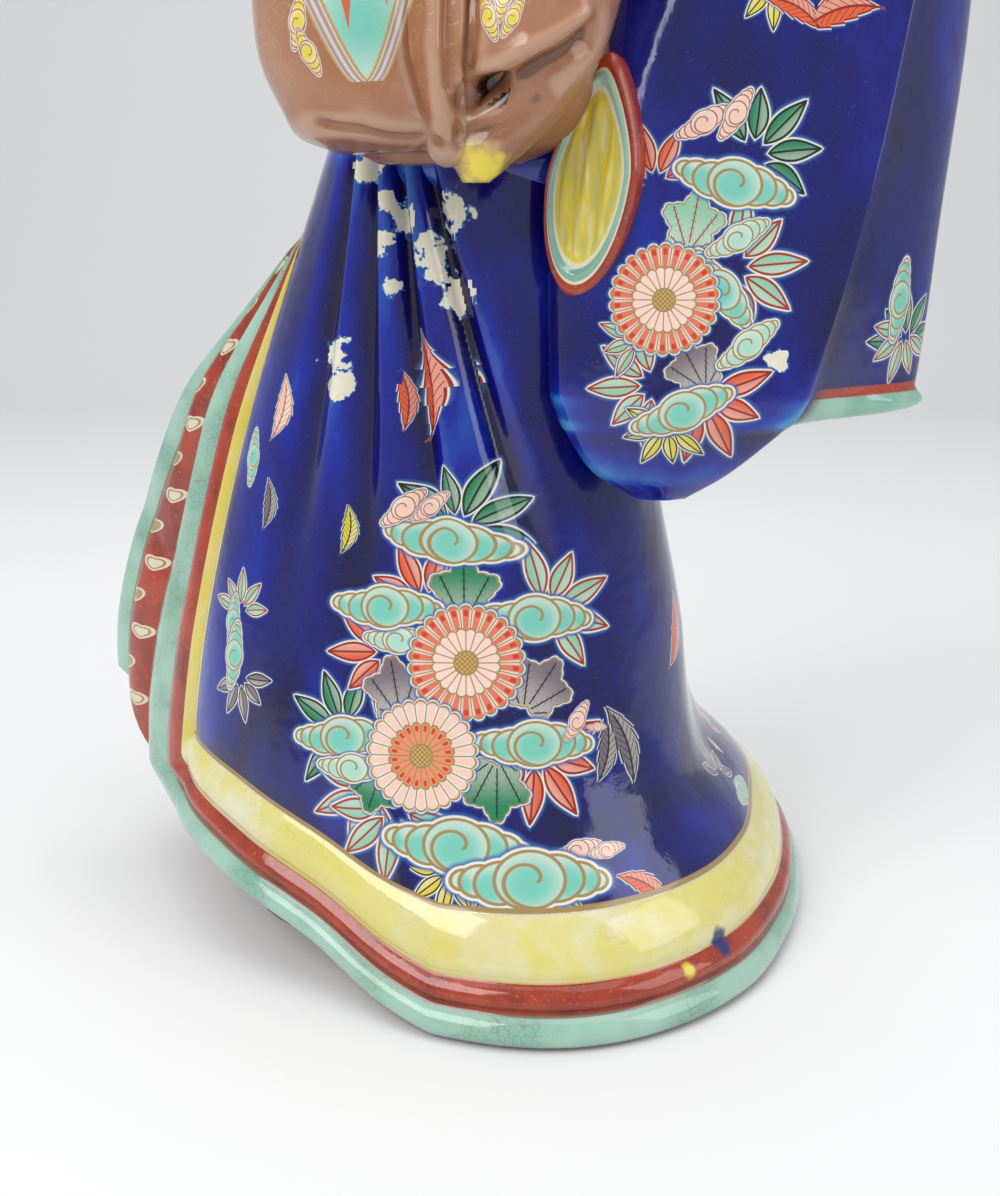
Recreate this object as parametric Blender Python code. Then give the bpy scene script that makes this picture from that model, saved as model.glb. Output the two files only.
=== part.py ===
# Glazed porcelain lady in layered robes, one fired piece standing on the flat underside of her robe.
# Run with: blender --background --python part.py
# Metres, +Z up. Her chest faces -Y and her left hand is towards +X. The origin is on the underside,
# in the middle of the figure's bounding box.

import math

import bpy
import bmesh
from mathutils import Matrix, Vector
from mathutils.geometry import interpolate_bezier

# Driving sizes. Every form is a free one, given in PART: 1/34 of her height, a centimetre at real size.
# Forms are laid out as seen from her left front, x to the right and y away, and turned at the end.
FIGURE_HEIGHT = 0.340
PART = FIGURE_HEIGHT / 34
CHEST_TURN = 25  # degrees from straight at the viewer to the way her chest faces

# Robe: radii about the waist line, by direction in degrees (0 right, 90 away, 270 near) and height.
ROBE_HEIGHTS = [0.0, 1.3, 2.6, 4.2, 7.6, 12.5, 18.5]
ROBE_RADII = {
    0: [7.5, 7.35, 6.5, 5.1, 4.45, 3.55, 3.7],
    30: [8.7, 8.4, 7.6, 6.0, 4.5, 3.65, 3.65],
    55: [10.0, 9.7, 8.8, 7.0, 4.8, 3.9, 3.6],
    85: [11.2, 10.9, 10.0, 8.1, 5.4, 4.3, 3.6],
    115: [10.6, 10.4, 9.7, 8.2, 5.8, 4.5, 3.5],
    140: [9.0, 8.9, 8.6, 7.8, 6.2, 4.8, 3.4],
    163: [8.4, 8.4, 8.3, 8.0, 7.1, 5.4, 3.5],
    188: [7.85, 7.85, 7.8, 7.7, 7.15, 5.85, 3.75],
    210: [7.0, 7.0, 6.95, 6.75, 6.05, 5.15, 3.85],
    235: [6.35, 6.3, 6.2, 5.95, 5.2, 4.5, 3.75],
    260: [7.0, 6.8, 6.3, 5.6, 4.75, 4.2, 3.75],
    285: [7.5, 7.25, 6.5, 5.45, 4.55, 4.0, 3.7],
    315: [7.45, 7.2, 6.5, 5.3, 4.45, 3.8, 3.65],
    335: [7.25, 7.1, 6.4, 5.15, 4.45, 3.6, 3.7],
}
ROBE_TOP = 18.5
HEM_GREEN = 0.7  # height of the pale lowest layer at the hem
HEM_RED = 0.6
HEM_YELLOW = 1.25
HEM_STEP = 0.2  # each layer stands this far outside the one above it
GROOVE = 0.12

# Free edges of the layers: they meet under the bow and fan out at her right, each a rounded lip.
EDGE_DIRECTION = 188
EDGE_FAN = 25  # degrees from the blue edge to the last layer's edge
EDGE_APEX = 16.4
EDGE_OPEN = 9.5  # below this height the edges are fully fanned out
EDGE_HEIGHTS = [2.0, 5.2, 6.9, 9.5, 12.3, 14.9, 16.4]
EDGE_REACH = [2.5, 3.35, 3.55, 3.4, 2.6, 0.9, 0.0]  # how far the last edge stands out of the robe
EDGE_BACK = 22  # degrees over which the panel behind the last edge thins out
LIP = 0.3  # how far a lip bulges between its two grooves
EDGE_LIPS = [0.0, 0.09, 0.34, 0.63, 0.87, 1.0]  # the grooves, from the blue edge to the last one
MITRE_LIPS = 3  # the first three edges turn a corner into the three rolls of the hem
EDGE_STEPS = [0.02, 0.2, 0.5, 0.8]  # where a ring's points lie across a lip
EDGE_START = 0.006  # the point next to the blue edge

# Height of the hem off the ground by direction: it lifts at her right.
LIFT_DIRECTIONS = [100, 118, 140, 155, 163, 167, 173, 184, 205, 227, 243, 258]
LIFT_HEIGHTS = [0, 0.5, 2.6, 4.2, 4.8, 4.4, 2.7, 2.4, 2.0, 1.25, 0.45, 0]
FOOT_INSET = 1.5  # the standing foot is this far inside a lifted hem
FOOT_REACH = 7.6  # no part of the foot is farther out than this where the hem is lifted
SOLE_INSET = 0.25

# Folds gathered under the bow: direction of each groove there, its spread in degrees per PART
# down, and its depth.
FOLD_TOP = 18.3
FOLDS = [(216, -0.4, 0.3), (225, 0.7, 0.4), (234, 2.2, 0.44), (244, 4.2, 0.36)]

# Steps round the robe: closer where the folds are gathered. Directions past 360 run on behind her.
ROUND_STEPS = [(188, 213, 6), (213, 277, 30), (277, 385, 14), (385, 500, 14), (500, None, 8)]
BODY_HEIGHTS = [3.4, 4.6, 6.0, 8.0, 10.2, 12.3, 14.0, 15.3, 16.4, 17.5]

# Torso rows: height, then x, y of the centre, half width and half depth.
TORSO = [
    (16.9, 0.35, 0.0, 3.2, 3.0),
    (17.5, 0.35, 0.0, 3.85, 3.75),
    (18.2, 0.4, 0.0, 3.8, 3.75),
    (18.6, 0.45, 0.05, 3.6, 3.4),
    (18.9, 0.45, 0.05, 3.75, 3.55),
    (21.0, 0.6, 0.1, 3.7, 3.35),
    (23.2, 0.85, 0.2, 3.75, 3.2),
    (23.4, 0.87, 0.2, 3.55, 2.95),
    (24.6, 0.95, 0.25, 3.8, 3.05),
    (26.0, 1.1, 0.3, 3.95, 2.75),
    (26.9, 1.2, 0.3, 3.35, 2.3),
    (27.6, 1.25, 0.2, 2.2, 1.8),
    (28.2, 1.25, 0.1, 1.4, 1.35),
]

# Left sleeve rows: height, then points round the plan, first the inner corner of the near face,
# its middle, the outer corner (twice, for a firm ridge), the outer face and the far side.
LEFT_SLEEVE = [
    (11.05, [(2.9, -4.2), (3.4, -4.35), (3.8, -4.2), (3.9, -4.1), (3.7, -3.8), (3.3, -3.7), (2.9, -3.9)]),
    (11.6, [(2.0, -4.3), (3.2, -4.75), (4.5, -4.55), (4.7, -4.2), (4.2, -3.2), (3.3, -2.9), (2.3, -3.3)]),
    (12.5, [(1.4, -4.3), (3.2, -5.1), (5.3, -4.95), (5.7, -4.5), (5.3, -2.9), (3.4, -2.3), (1.8, -2.8)]),
    (12.75, [(1.3, -4.3), (3.25, -5.2), (5.7, -5.1), (6.1, -4.6), (8.7, -2.7), (4.4, -1.9), (1.7, -2.6)]),
    (13.3, [(1.15, -4.3), (3.3, -5.25), (5.95, -5.15), (6.4, -4.65), (9.0, -2.5), (4.6, -1.7), (1.6, -2.4)]),
    (17.0, [(1.1, -3.95), (2.95, -5.1), (6.8, -4.95), (7.2, -4.5), (9.3, -2.3), (5.6, -1.2), (1.9, -1.6)]),
    (20.5, [(1.9, -3.7), (3.6, -4.8), (7.4, -4.7), (7.8, -4.3), (9.5, -2.3), (6.2, -1.1), (2.7, -1.4)]),
    (23.2, [(2.8, -3.4), (5.2, -4.2), (7.8, -4.6), (8.2, -4.2), (9.3, -2.7), (6.6, -1.2), (3.0, -1.0)]),
    (25.2, [(3.0, -2.4), (5.3, -3.4), (7.8, -4.4), (8.2, -4.1), (8.9, -3.2), (6.4, -1.3), (3.2, -0.8)]),
    (26.0, [(3.6, -1.6), (5.4, -2.5), (7.2, -3.4), (7.5, -3.3), (7.6, -3.0), (6.0, -1.8), (3.9, -1.1)]),
]
MOUTH_CENTRE = (1.95, -4.5, 17.45)
MOUTH_HALF = (1.05, 2.2)  # half width and half height of the sleeve's open inner edge
MOUTH_LEAN = 8  # degrees its top leans towards her hand
MOUTH_YAW = -32  # degrees from facing the viewer, towards the bow
MOUTH_RIMS = [(-1.2, 0.9), (-0.1, 1.02), (0.3, 1.0), (0.36, 0.88), (0.24, 0.8), (0.32, 0.72), (0.12, 0.6)]

# Right sleeve rows, hanging behind her right hip: height, centre, half length, half thickness.
RIGHT_SLEEVE = [
    (12.7, -1.9, 3.6, 0.9, 0.3),
    (13.2, -1.9, 3.6, 1.7, 0.8),
    (14.6, -1.9, 3.6, 2.0, 1.0),
    (17.5, -2.0, 3.4, 2.0, 1.15),
    (20.5, -2.1, 3.0, 2.0, 1.3),
    (23.0, -2.5, 2.5, 1.9, 1.4),
    (25.0, -2.2, 2.0, 1.7, 1.3),
    (26.2, -1.4, 1.5, 1.2, 0.9),
]
RIGHT_SLEEVE_YAW = 35

# Bow rows, loop by loop: height, centre, half width and half depth.
BOW_LEFT = [
    (17.9, -2.2, -5.2, 0.9, 0.8),
    (18.15, -2.3, -5.2, 1.45, 1.3),
    (18.6, -2.45, -5.2, 1.6, 1.5),
    (19.5, -2.7, -5.15, 1.75, 1.65),
    (20.6, -2.75, -5.1, 1.8, 1.75),
    (21.9, -2.75, -4.95, 1.75, 1.6),
    (23.0, -2.7, -4.75, 1.45, 1.25),
    (23.6, -2.75, -4.6, 0.8, 0.6),
]
BOW_RIGHT = [
    (17.35, -0.45, -5.7, 0.25, 0.25),
    (17.9, -0.25, -5.55, 0.75, 0.6),
    (18.7, 0.15, -5.4, 1.15, 1.0),
    (19.6, 0.45, -5.4, 1.45, 1.5),
    (20.8, 0.7, -5.3, 1.6, 1.6),
    (21.9, 0.95, -5.15, 1.75, 1.5),
    (23.0, 1.05, -4.85, 1.5, 1.2),
    (23.6, 1.1, -4.65, 0.8, 0.6),
]
BOW_BACK = [
    (17.75, -1.0, -4.1, 1.4, 0.8),
    (18.2, -0.9, -4.0, 2.4, 1.3),
    (18.9, -0.8, -4.1, 2.8, 1.7),
    (20.0, -0.8, -4.2, 2.9, 1.85),
    (22.5, -0.7, -4.1, 2.6, 1.7),
    (23.4, -0.6, -3.5, 1.8, 0.8),
]
PLEAT = [(-1.05, -5.3, 22.4), (-1.15, -5.85, 21.2), (-1.1, -6.0, 19.6), (-0.95, -5.8, 18.0)]
PLEAT_RADII = [0.7, 0.72, 0.66, 0.4]
KNOT = (-0.95, -5.7, 22.9)
KNOT_HALF = (1.0, 0.9, 1.1)  # half its size sideways, ahead and up, as for every ball here

# Arms and hands: joints with a radius at each.
LEFT_ARM = [(2.9, -0.2, 26.2), (5.6, -1.9, 25.0), (8.5, -3.4, 24.8)]
LEFT_ARM_RADII = [1.4, 1.3, 1.2]
LEFT_HAND = [(8.1, -3.2, 24.8), (9.4, -4.1, 24.8), (10.3, -4.8, 25.5)]
LEFT_HAND_RADII = [0.6, 0.5, 0.26]
RIGHT_ARM = [(-1.5, 1.4, 26.1), (-3.2, 2.0, 24.5), (-3.4, -0.1, 23.6), (-2.1, -2.1, 24.9)]
RIGHT_ARM_RADII = [1.25, 1.3, 1.2, 1.0]
RIGHT_HAND = [(-2.3, -1.8, 24.8), (-1.3, -3.1, 25.5), (-0.5, -3.1, 26.0)]
RIGHT_HAND_RADII = [0.55, 0.5, 0.24]

# Neck and head. What sits on the head is placed ahead, left and up of its centre.
NECK = [(1.3, 0.15, 27.6), (1.15, -0.15, 28.7), (0.95, -0.45, 29.9)]
NECK_RADII = [1.1, 0.82, 0.9]
HEAD = (0.85, -0.75, 30.6)
FACE_HALF = (1.5, 1.6, 1.95)
NOSE_AT = (1.62, 0, -0.25)
NOSE_HALF = (0.2, 0.22, 0.34)
NOSE_LEAN = -14
HAIR_AT = (-0.5, 0, 0.62)
HAIR_HALF = (1.95, 1.75, 1.75)
HAIR_LEAN = 12
WING_AT = (-0.35, 1.45, 0.1)
WING_HALF = (0.75, 1.25, 1.15)
TOPKNOT_AT = (-0.75, 0, 2.42)
TOPKNOT_HALF = (1.05, 1.5, 0.98)
ROLL_AT = (-2.1, 0, -0.35)
ROLL_HALF = (1.05, 1.0, 0.95)

# The robe's edges over her shoulders and across her chest, ahead, left and up of the foot of her neck.
NECK_FOOT = (1.2, 0.2, 27.6)
COLLAR_PATH = [(-1.3, 0, 0.75), (-0.2, 1.45, 0.45), (1.75, 1.05, -0.9), (2.75, -0.15, -2.6), (3.05, -1.3, -4.3)]
COLLAR_OUT = {-1: 0.0, 1: 0.12}  # the left one lies over the right one
COLLAR_WIDTH = 0.42


def directed(forward, side, up, centre):
    """A point given from a centre, along her own forward and left-hand directions."""
    facing = math.radians(-CHEST_TURN)
    ahead = Vector((math.sin(facing), -math.cos(facing), 0))
    left = Vector((math.cos(facing), math.sin(facing), 0))
    return Vector(centre) + ahead * forward + left * side + Vector((0, 0, up))


def smooth(low, high, value):
    share = min(1, max(0, (value - low) / (high - low)))
    return share * share * (3 - 2 * share)


def through(knots, values, at, turn=None):
    """A Catmull-Rom curve's value through the knots; with turn it closes on itself."""
    count = len(knots)
    if turn is None and at <= knots[0]:
        return values[0]
    if turn is None and at >= knots[-1]:
        return values[-1]
    if turn is not None:
        at = knots[0] + (at - knots[0]) % turn
    low = max(i for i in range(count) if knots[i] <= at)

    def knot(i):
        if turn is None:
            i = min(count - 1, max(0, i))
            return knots[i], values[i]
        return knots[i % count] + turn * (i // count), values[i % count]

    (k0, v0), (k1, v1), (k2, v2), (k3, v3) = (knot(low + j) for j in (-1, 0, 1, 2))
    span = k2 - k1
    slope_in = (v2 - v0) / (k2 - k0) * span
    slope_out = (v3 - v1) / (k3 - k1) * span
    s = (at - k1) / span
    return (
        v1 * (2 * s**3 - 3 * s**2 + 1)
        + slope_in * (s**3 - 2 * s**2 + s)
        + v2 * (3 * s**2 - 2 * s**3)
        + slope_out * (s**3 - s**2)
    )


def lift(direction):
    """How far the hem is off the ground in this direction."""
    return through(LIFT_DIRECTIONS, LIFT_HEIGHTS, direction)


def robe_height(direction, level):
    """True height of a level of the robe; the lift fades out upwards."""
    hem = lift(direction % 360)
    return hem + level * (ROBE_TOP - hem) / ROBE_TOP


def edge_tip(level):
    """Direction of the last layer's edge, which the whole ring at this level shares."""
    height = robe_height(EDGE_DIRECTION - EDGE_FAN, level)
    share = min(1, max(0, (EDGE_APEX - height) / (EDGE_APEX - EDGE_OPEN)))
    return EDGE_DIRECTION - 0.5 - EDGE_FAN * share**0.5


def robe_radius(direction, height):
    directions = sorted(ROBE_RADII)
    radii = [through(ROBE_HEIGHTS, ROBE_RADII[d], height) for d in directions]
    return through(directions, radii, direction, turn=360)


def fold_depth(direction, height):
    """How deep the gathered folds, and the folds behind, press into the robe here."""
    below = FOLD_TOP - height
    depth = 0.0
    fade = smooth(7.0, 13.0, height) * (1 - smooth(18.0, 18.5, height))
    for start, spread, deep in FOLDS:
        width = 2.2 + 0.45 * max(0, below)
        depth += deep * fade * math.exp(-(((direction - start - spread * below) / width) ** 2))
    wave = 0.5 + 0.5 * math.cos(math.radians(direction * 8))
    behind = smooth(30, 60, direction) * (1 - smooth(115, 140, direction))
    return depth + 0.3 * wave * behind * smooth(3.0, 7.0, height) * (1 - smooth(13, 18, height))


def robe_point(direction, level, outward=0.0):
    """A point of the robe outside its layered edges."""
    direction %= 360
    height = robe_height(direction, level)
    radius = robe_radius(direction, height) - fold_depth(direction, height)
    behind = edge_tip(level) - direction
    if -0.01 <= behind < EDGE_BACK:
        reach = through(EDGE_HEIGHTS, EDGE_REACH, height)
        radius += reach * (1 - behind / EDGE_BACK) ** 2.4
        outward *= smooth(0, EDGE_BACK, behind)
    radius += outward
    angle = math.radians(direction)
    return Vector((radius * math.cos(angle), radius * math.sin(angle), height))


def edge_point(share, level, outward=0.0):
    """A point of the layered edges, from 0 at the blue edge to 1 at the last one."""
    tip = edge_tip(level)
    blue = robe_point(EDGE_DIRECTION, level)
    last = robe_point(tip, level)
    point = blue.lerp(last, share)
    point.z = robe_height(EDGE_DIRECTION + (tip - EDGE_DIRECTION) * share, level)
    hem = hem_share(level)
    layer = max(share, hem)
    low = max(lip for lip in EDGE_LIPS[:-1] if lip <= layer)
    high = EDGE_LIPS[EDGE_LIPS.index(low) + 1]
    bulge = math.sin(math.pi * (layer - low) / (high - low)) ** 0.7
    opened = min(1, (last - blue).length / 3)
    out = Vector((point.x, point.y, 0)).normalized()
    edged = smooth(0, hem, share) if share < hem else 1.0
    return point + out * ((LIP * bulge - GROOVE) * opened * edged + outward * (1 - edged))


def hem_share(level):
    """Which part of the free edges a level of the hem's rolls runs on into at their corner."""
    tops = [0.0, HEM_GREEN, HEM_GREEN + HEM_RED, HEM_GREEN + HEM_RED + HEM_YELLOW]
    shares = EDGE_LIPS[MITRE_LIPS::-1]
    for i in range(MITRE_LIPS):
        if level <= tops[i + 1]:
            part = max(0, level - tops[i]) / (tops[i + 1] - tops[i])
            return shares[i] + (shares[i + 1] - shares[i]) * part
    return 0.0


def robe_ring(level, outward=0.0):
    """One ring of the robe: round the body from the blue edge, then back over the layered edges."""
    points = []
    for start, end, steps in ROUND_STEPS:
        end = end or 360 + edge_tip(level)
        for i in range(steps):
            points.append(robe_point(start + (end - start) * i / steps, level, outward))
    for low, high in zip(EDGE_LIPS[-2::-1], EDGE_LIPS[:0:-1]):
        for part in EDGE_STEPS:
            points.append(edge_point(high - (high - low) * part, level, outward))
    points.append(edge_point(EDGE_START, level, outward))
    return [point * PART for point in points]


def foot_ring(height, inset):
    """A ring of the foot, which stays inside the hem where the hem is lifted."""
    ring = []
    for point in robe_ring(0.0):
        lifted = smooth(0.05, 0.9, point.z / PART)
        flat = Vector((point.x, point.y, 0)) / PART
        radius = flat.length - inset
        radius += (min(radius, FOOT_REACH) - FOOT_INSET - radius) * lifted
        ring.append((flat.normalized() * radius + Vector((0, 0, height))) * PART)
    return ring


def loft(name, rings):
    """One closed mesh through rings with the same number of points."""
    mesh = bmesh.new()
    loops = [[mesh.verts.new(point) for point in ring] for ring in rings]
    count = len(loops[0])
    for lower, upper in zip(loops, loops[1:]):
        for i in range(count):
            j = (i + 1) % count
            mesh.faces.new((lower[i], lower[j], upper[j], upper[i]))
    for loop, turned in ((loops[0], True), (loops[-1], False)):
        middle = mesh.verts.new(sum((v.co for v in loop), Vector()) / count)
        for i in range(count):
            pair = (loop[i], loop[(i + 1) % count])
            mesh.faces.new((*(reversed(pair) if turned else pair), middle))
    bmesh.ops.recalc_face_normals(mesh, faces=mesh.faces)
    return object_of(name, mesh)


def object_of(name, mesh):
    data = bpy.data.meshes.new(name)
    mesh.to_mesh(data)
    mesh.free()
    data.shade_smooth()
    made = bpy.data.objects.new(name, data)
    return made


def ball(name, centre, half, tilt=0.0, steps=12):
    """An egg, turned as she faces, with its top leant back by tilt degrees."""
    mesh = bmesh.new()
    bmesh.ops.create_uvsphere(mesh, u_segments=steps, v_segments=steps * 2 // 3, radius=1)
    size = Matrix.Diagonal((*(Vector(half) * PART), 1))
    lean = Matrix.Rotation(math.radians(-tilt), 4, "X")
    turn = Matrix.Rotation(math.radians(-CHEST_TURN), 4, "Z")
    place = Matrix.Translation(Vector(centre) * PART)
    bmesh.ops.transform(mesh, matrix=place @ turn @ lean @ size, verts=mesh.verts)
    return object_of(name, mesh)


def limb(name, joints, radii, steps=12, per_span=3):
    """A round limb through joints, with its radius at each of them."""
    joints = [Vector(j) * PART for j in joints]
    path, sizes = [], []
    for i in range(len(joints) - 1):
        back = joints[max(0, i - 1)]
        beyond = joints[min(len(joints) - 1, i + 2)]
        handle_out = joints[i] + (joints[i + 1] - back) / 6
        handle_in = joints[i + 1] - (beyond - joints[i]) / 6
        span = interpolate_bezier(joints[i], handle_out, handle_in, joints[i + 1], per_span + 1)
        last = i == len(joints) - 2
        for k, point in enumerate(span if last else span[:-1]):
            path.append(point)
            sizes.append(radii[i] + (radii[i + 1] - radii[i]) * k / per_span)
    rings = []
    aside = (path[1] - path[0]).orthogonal()
    for i, (point, size) in enumerate(zip(path, sizes)):
        along = (path[min(i + 1, len(path) - 1)] - path[max(i - 1, 0)]).normalized()
        aside = (aside - along * aside.dot(along)).normalized()
        across = aside.cross(along)
        rings.append(
            [
                point + (aside * math.cos(a) + across * math.sin(a)) * size * PART
                for a in (math.tau * k / steps for k in range(steps))
            ]
        )
    return loft(name, rings)


def skin(name, rows, around, up):
    """A closed form through rows of plan points, smooth round each row and from row to row."""
    count = len(rows[0][1])
    nets = [[Vector((x, y, z)) for x, y in points] for z, points in rows]
    levels = [z for z, points in rows]
    rings = []
    for step in range((len(rows) - 1) * up + 1):
        low = min(step // up, len(rows) - 2)
        at = levels[low] + (levels[low + 1] - levels[low]) * (step / up - low)
        row = [through(levels, [net[i] for net in nets], at) for i in range(count)]
        rings.append(
            [
                through(list(range(count)), row, count * k / around, turn=count) * PART
                for k in range(around)
            ]
        )
    return loft(name, rings)


def oval_rows(rows, yaw=0.0):
    """Rows of eight plan points round ovals, each given as height, centre and two half sizes."""
    turned = Matrix.Rotation(math.radians(yaw), 2)
    made = []
    for z, x, y, half_x, half_y in rows:
        points = []
        for i in range(8):
            turn = math.tau * i / 8
            offset = turned @ Vector((math.cos(turn) * half_x, math.sin(turn) * half_y))
            points.append((x + offset.x, y + offset.y))
        made.append((z, points))
    return made


def robe():
    red = HEM_GREEN + HEM_RED
    yellow = red + HEM_YELLOW
    rings = [
        foot_ring(0.0, SOLE_INSET),
        foot_ring(0.35, SOLE_INSET + 0.1),
        robe_ring(0.14, HEM_STEP * 2 - 0.1),
        robe_ring(HEM_GREEN * 0.55, HEM_STEP * 2),
        robe_ring(HEM_GREEN, HEM_STEP * 2 - GROOVE * 2),
        robe_ring(HEM_GREEN + HEM_RED * 0.45, HEM_STEP),
        robe_ring(red, HEM_STEP - GROOVE * 2),
        robe_ring(red + HEM_YELLOW * 0.3, 0.08),
        robe_ring(yellow - 0.15, 0.05),
        robe_ring(yellow, -0.03),
    ]
    rings += [robe_ring(level) for level in BODY_HEIGHTS]
    rings.append(robe_ring(ROBE_TOP, -0.4))
    return loft("robe", rings)


def torso():
    return skin("torso", oval_rows(TORSO, -CHEST_TURN), 24, 1)


def sleeve_mouth():
    """The open inner edge of the left sleeve: nested rims with the folded lining inside them."""
    count = 20
    toward = Matrix.Rotation(math.radians(MOUTH_YAW), 3, "Z") @ Vector((0, -1, 0))
    aside = Matrix.Rotation(math.radians(MOUTH_YAW), 3, "Z") @ Vector((1, 0, 0))
    lean = math.tan(math.radians(MOUTH_LEAN))
    rings = []
    for out, size in MOUTH_RIMS:
        ring = []
        for i in range(count):
            turn = math.tau * i / count
            up = math.sin(turn) * MOUTH_HALF[1] * size
            narrow = 1 - 0.45 * max(0, math.sin(turn)) ** 1.4
            side = math.cos(turn) * MOUTH_HALF[0] * size * narrow
            point = Vector(MOUTH_CENTRE) + aside * (side + up * lean) + toward * out
            ring.append((point + Vector((0, 0, up))) * PART)
        rings.append(ring)
    return loft("sleeve_mouth", rings)


def bow():
    """The obi's bow in front: two full loops hung from a knot, the cloth behind and a pleat between."""
    return [
        ball("bow_knot", KNOT, KNOT_HALF),
        skin("bow_left_loop", oval_rows(BOW_LEFT), 18, 2),
        skin("bow_right_loop", oval_rows(BOW_RIGHT), 18, 2),
        skin("bow_back", oval_rows(BOW_BACK), 16, 2),
        limb("bow_pleat", PLEAT, PLEAT_RADII, 8, 2),
    ]


def arms():
    return [
        limb("left_arm", LEFT_ARM, LEFT_ARM_RADII),
        limb("left_hand", LEFT_HAND, LEFT_HAND_RADII, 8),
        limb("right_arm", RIGHT_ARM, RIGHT_ARM_RADII),
        limb("right_hand", RIGHT_HAND, RIGHT_HAND_RADII, 8),
    ]


def collar(side):
    """One edge of the robe from her nape, over a shoulder and across her chest; side is 1 or -1."""
    out = COLLAR_OUT[side]
    joints = [
        directed(ahead + math.copysign(out, ahead), left * side, up, NECK_FOOT)
        for ahead, left, up in COLLAR_PATH
    ]
    return limb(f"collar_{side}", joints, [COLLAR_WIDTH] * len(joints), 8, 2)


def head():
    """Neck, head with a small nose, and dressed hair with its side wings, topknot and nape roll."""
    ahead, left, up = WING_AT
    return [
        limb("neck", NECK, NECK_RADII, 12, 2),
        ball("face", HEAD, FACE_HALF, 0, 14),
        ball("nose", directed(*NOSE_AT, HEAD), NOSE_HALF, NOSE_LEAN, 8),
        ball("hair", directed(*HAIR_AT, HEAD), HAIR_HALF, HAIR_LEAN, 14),
        ball("hair_wing_left", directed(ahead, left, up, HEAD), WING_HALF, 0, 10),
        ball("hair_wing_right", directed(ahead, -left, up, HEAD), WING_HALF, 0, 10),
        ball("topknot", directed(*TOPKNOT_AT, HEAD), TOPKNOT_HALF),
        ball("nape_roll", directed(*ROLL_AT, HEAD), ROLL_HALF, 0, 10),
    ]


def enamel(name, colour, roughness):
    made = bpy.data.materials.new(name)
    made.use_nodes = True
    shader = made.node_tree.nodes["Principled BSDF"]
    shader.inputs["Base Color"].default_value = (*colour, 1)
    shader.inputs["Roughness"].default_value = roughness
    shader.inputs["Metallic"].default_value = 0.0
    return made


def stand(forms):
    """Turns the forms until her chest faces -Y and puts the middle of their foot at the origin."""
    for form in forms:
        form.data.transform(Matrix.Rotation(math.radians(CHEST_TURN), 4, "Z"))
    points = [vertex.co for form in forms for vertex in form.data.vertices]
    middle_x = (min(p.x for p in points) + max(p.x for p in points)) / 2
    middle_y = (min(p.y for p in points) + max(p.y for p in points)) / 2
    for form in forms:
        form.data.transform(Matrix.Translation((-middle_x, -middle_y, 0)))


def build():
    for old in list(bpy.data.objects):
        bpy.data.objects.remove(old)
    scene = bpy.context.scene
    forms = bpy.data.collections.new("forms_joined_into_the_figure")
    scene.collection.children.link(forms)
    joined = [torso(), sleeve_mouth(), *bow(), *arms(), *head()]
    joined += [collar(-1), collar(1)]
    joined.append(skin("left_sleeve", LEFT_SLEEVE, 24, 2))
    joined.append(skin("right_sleeve", oval_rows(RIGHT_SLEEVE, RIGHT_SLEEVE_YAW), 18, 2))
    figure = robe()
    stand([figure, *joined])
    for form in joined:
        form.hide_render = True
        form.display_type = "WIRE"
        forms.objects.link(form)
    figure.name = "lady_figure"
    figure.data.materials.append(enamel("blue_enamel", (0.01, 0.02, 0.32), 0.12))
    scene.collection.objects.link(figure)
    union = figure.modifiers.new("one_piece", "BOOLEAN")
    union.operation = "UNION"
    union.operand_type = "COLLECTION"
    union.collection = forms
    union.solver = "EXACT"


build()
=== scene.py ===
import math
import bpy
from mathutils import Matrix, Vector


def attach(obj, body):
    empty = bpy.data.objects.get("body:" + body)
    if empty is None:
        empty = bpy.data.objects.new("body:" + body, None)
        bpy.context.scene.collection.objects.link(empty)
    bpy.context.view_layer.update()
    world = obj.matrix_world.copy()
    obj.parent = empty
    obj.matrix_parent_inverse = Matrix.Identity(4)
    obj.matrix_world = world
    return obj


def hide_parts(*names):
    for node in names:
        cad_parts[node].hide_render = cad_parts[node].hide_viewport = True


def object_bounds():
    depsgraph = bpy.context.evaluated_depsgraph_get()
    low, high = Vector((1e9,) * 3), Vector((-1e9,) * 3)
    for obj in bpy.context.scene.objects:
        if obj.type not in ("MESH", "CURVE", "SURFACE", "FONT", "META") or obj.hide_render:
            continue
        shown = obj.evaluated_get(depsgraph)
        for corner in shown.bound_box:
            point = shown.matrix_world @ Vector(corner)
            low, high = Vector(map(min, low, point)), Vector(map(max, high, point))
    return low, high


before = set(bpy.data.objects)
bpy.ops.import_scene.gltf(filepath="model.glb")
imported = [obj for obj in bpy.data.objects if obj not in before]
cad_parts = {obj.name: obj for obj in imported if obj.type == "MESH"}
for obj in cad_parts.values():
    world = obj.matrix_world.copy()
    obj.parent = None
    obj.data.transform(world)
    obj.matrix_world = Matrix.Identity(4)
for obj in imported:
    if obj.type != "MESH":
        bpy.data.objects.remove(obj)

from types import SimpleNamespace

import bpy
import bmesh
from mathutils import Matrix, Vector
from mathutils.bvhtree import BVHTree
from mathutils.geometry import interpolate_bezier, intersect_point_line
from mathutils.kdtree import KDTree

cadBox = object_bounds()

# The figure is laid out in centimetres as seen from the photo's side: x to the right, y away.
# The last step of each piece turns it until her chest faces -Y and brings it to metres.
layout = {"unit": 0.01, "turn": 25, "shift": (-0.002664, -0.017862)}
place = (
    Matrix.Translation((*layout["shift"], 0))
    @ Matrix.Rotation(math.radians(layout["turn"]), 4, "Z")
    @ Matrix.Scale(layout["unit"], 4)
)

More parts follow.
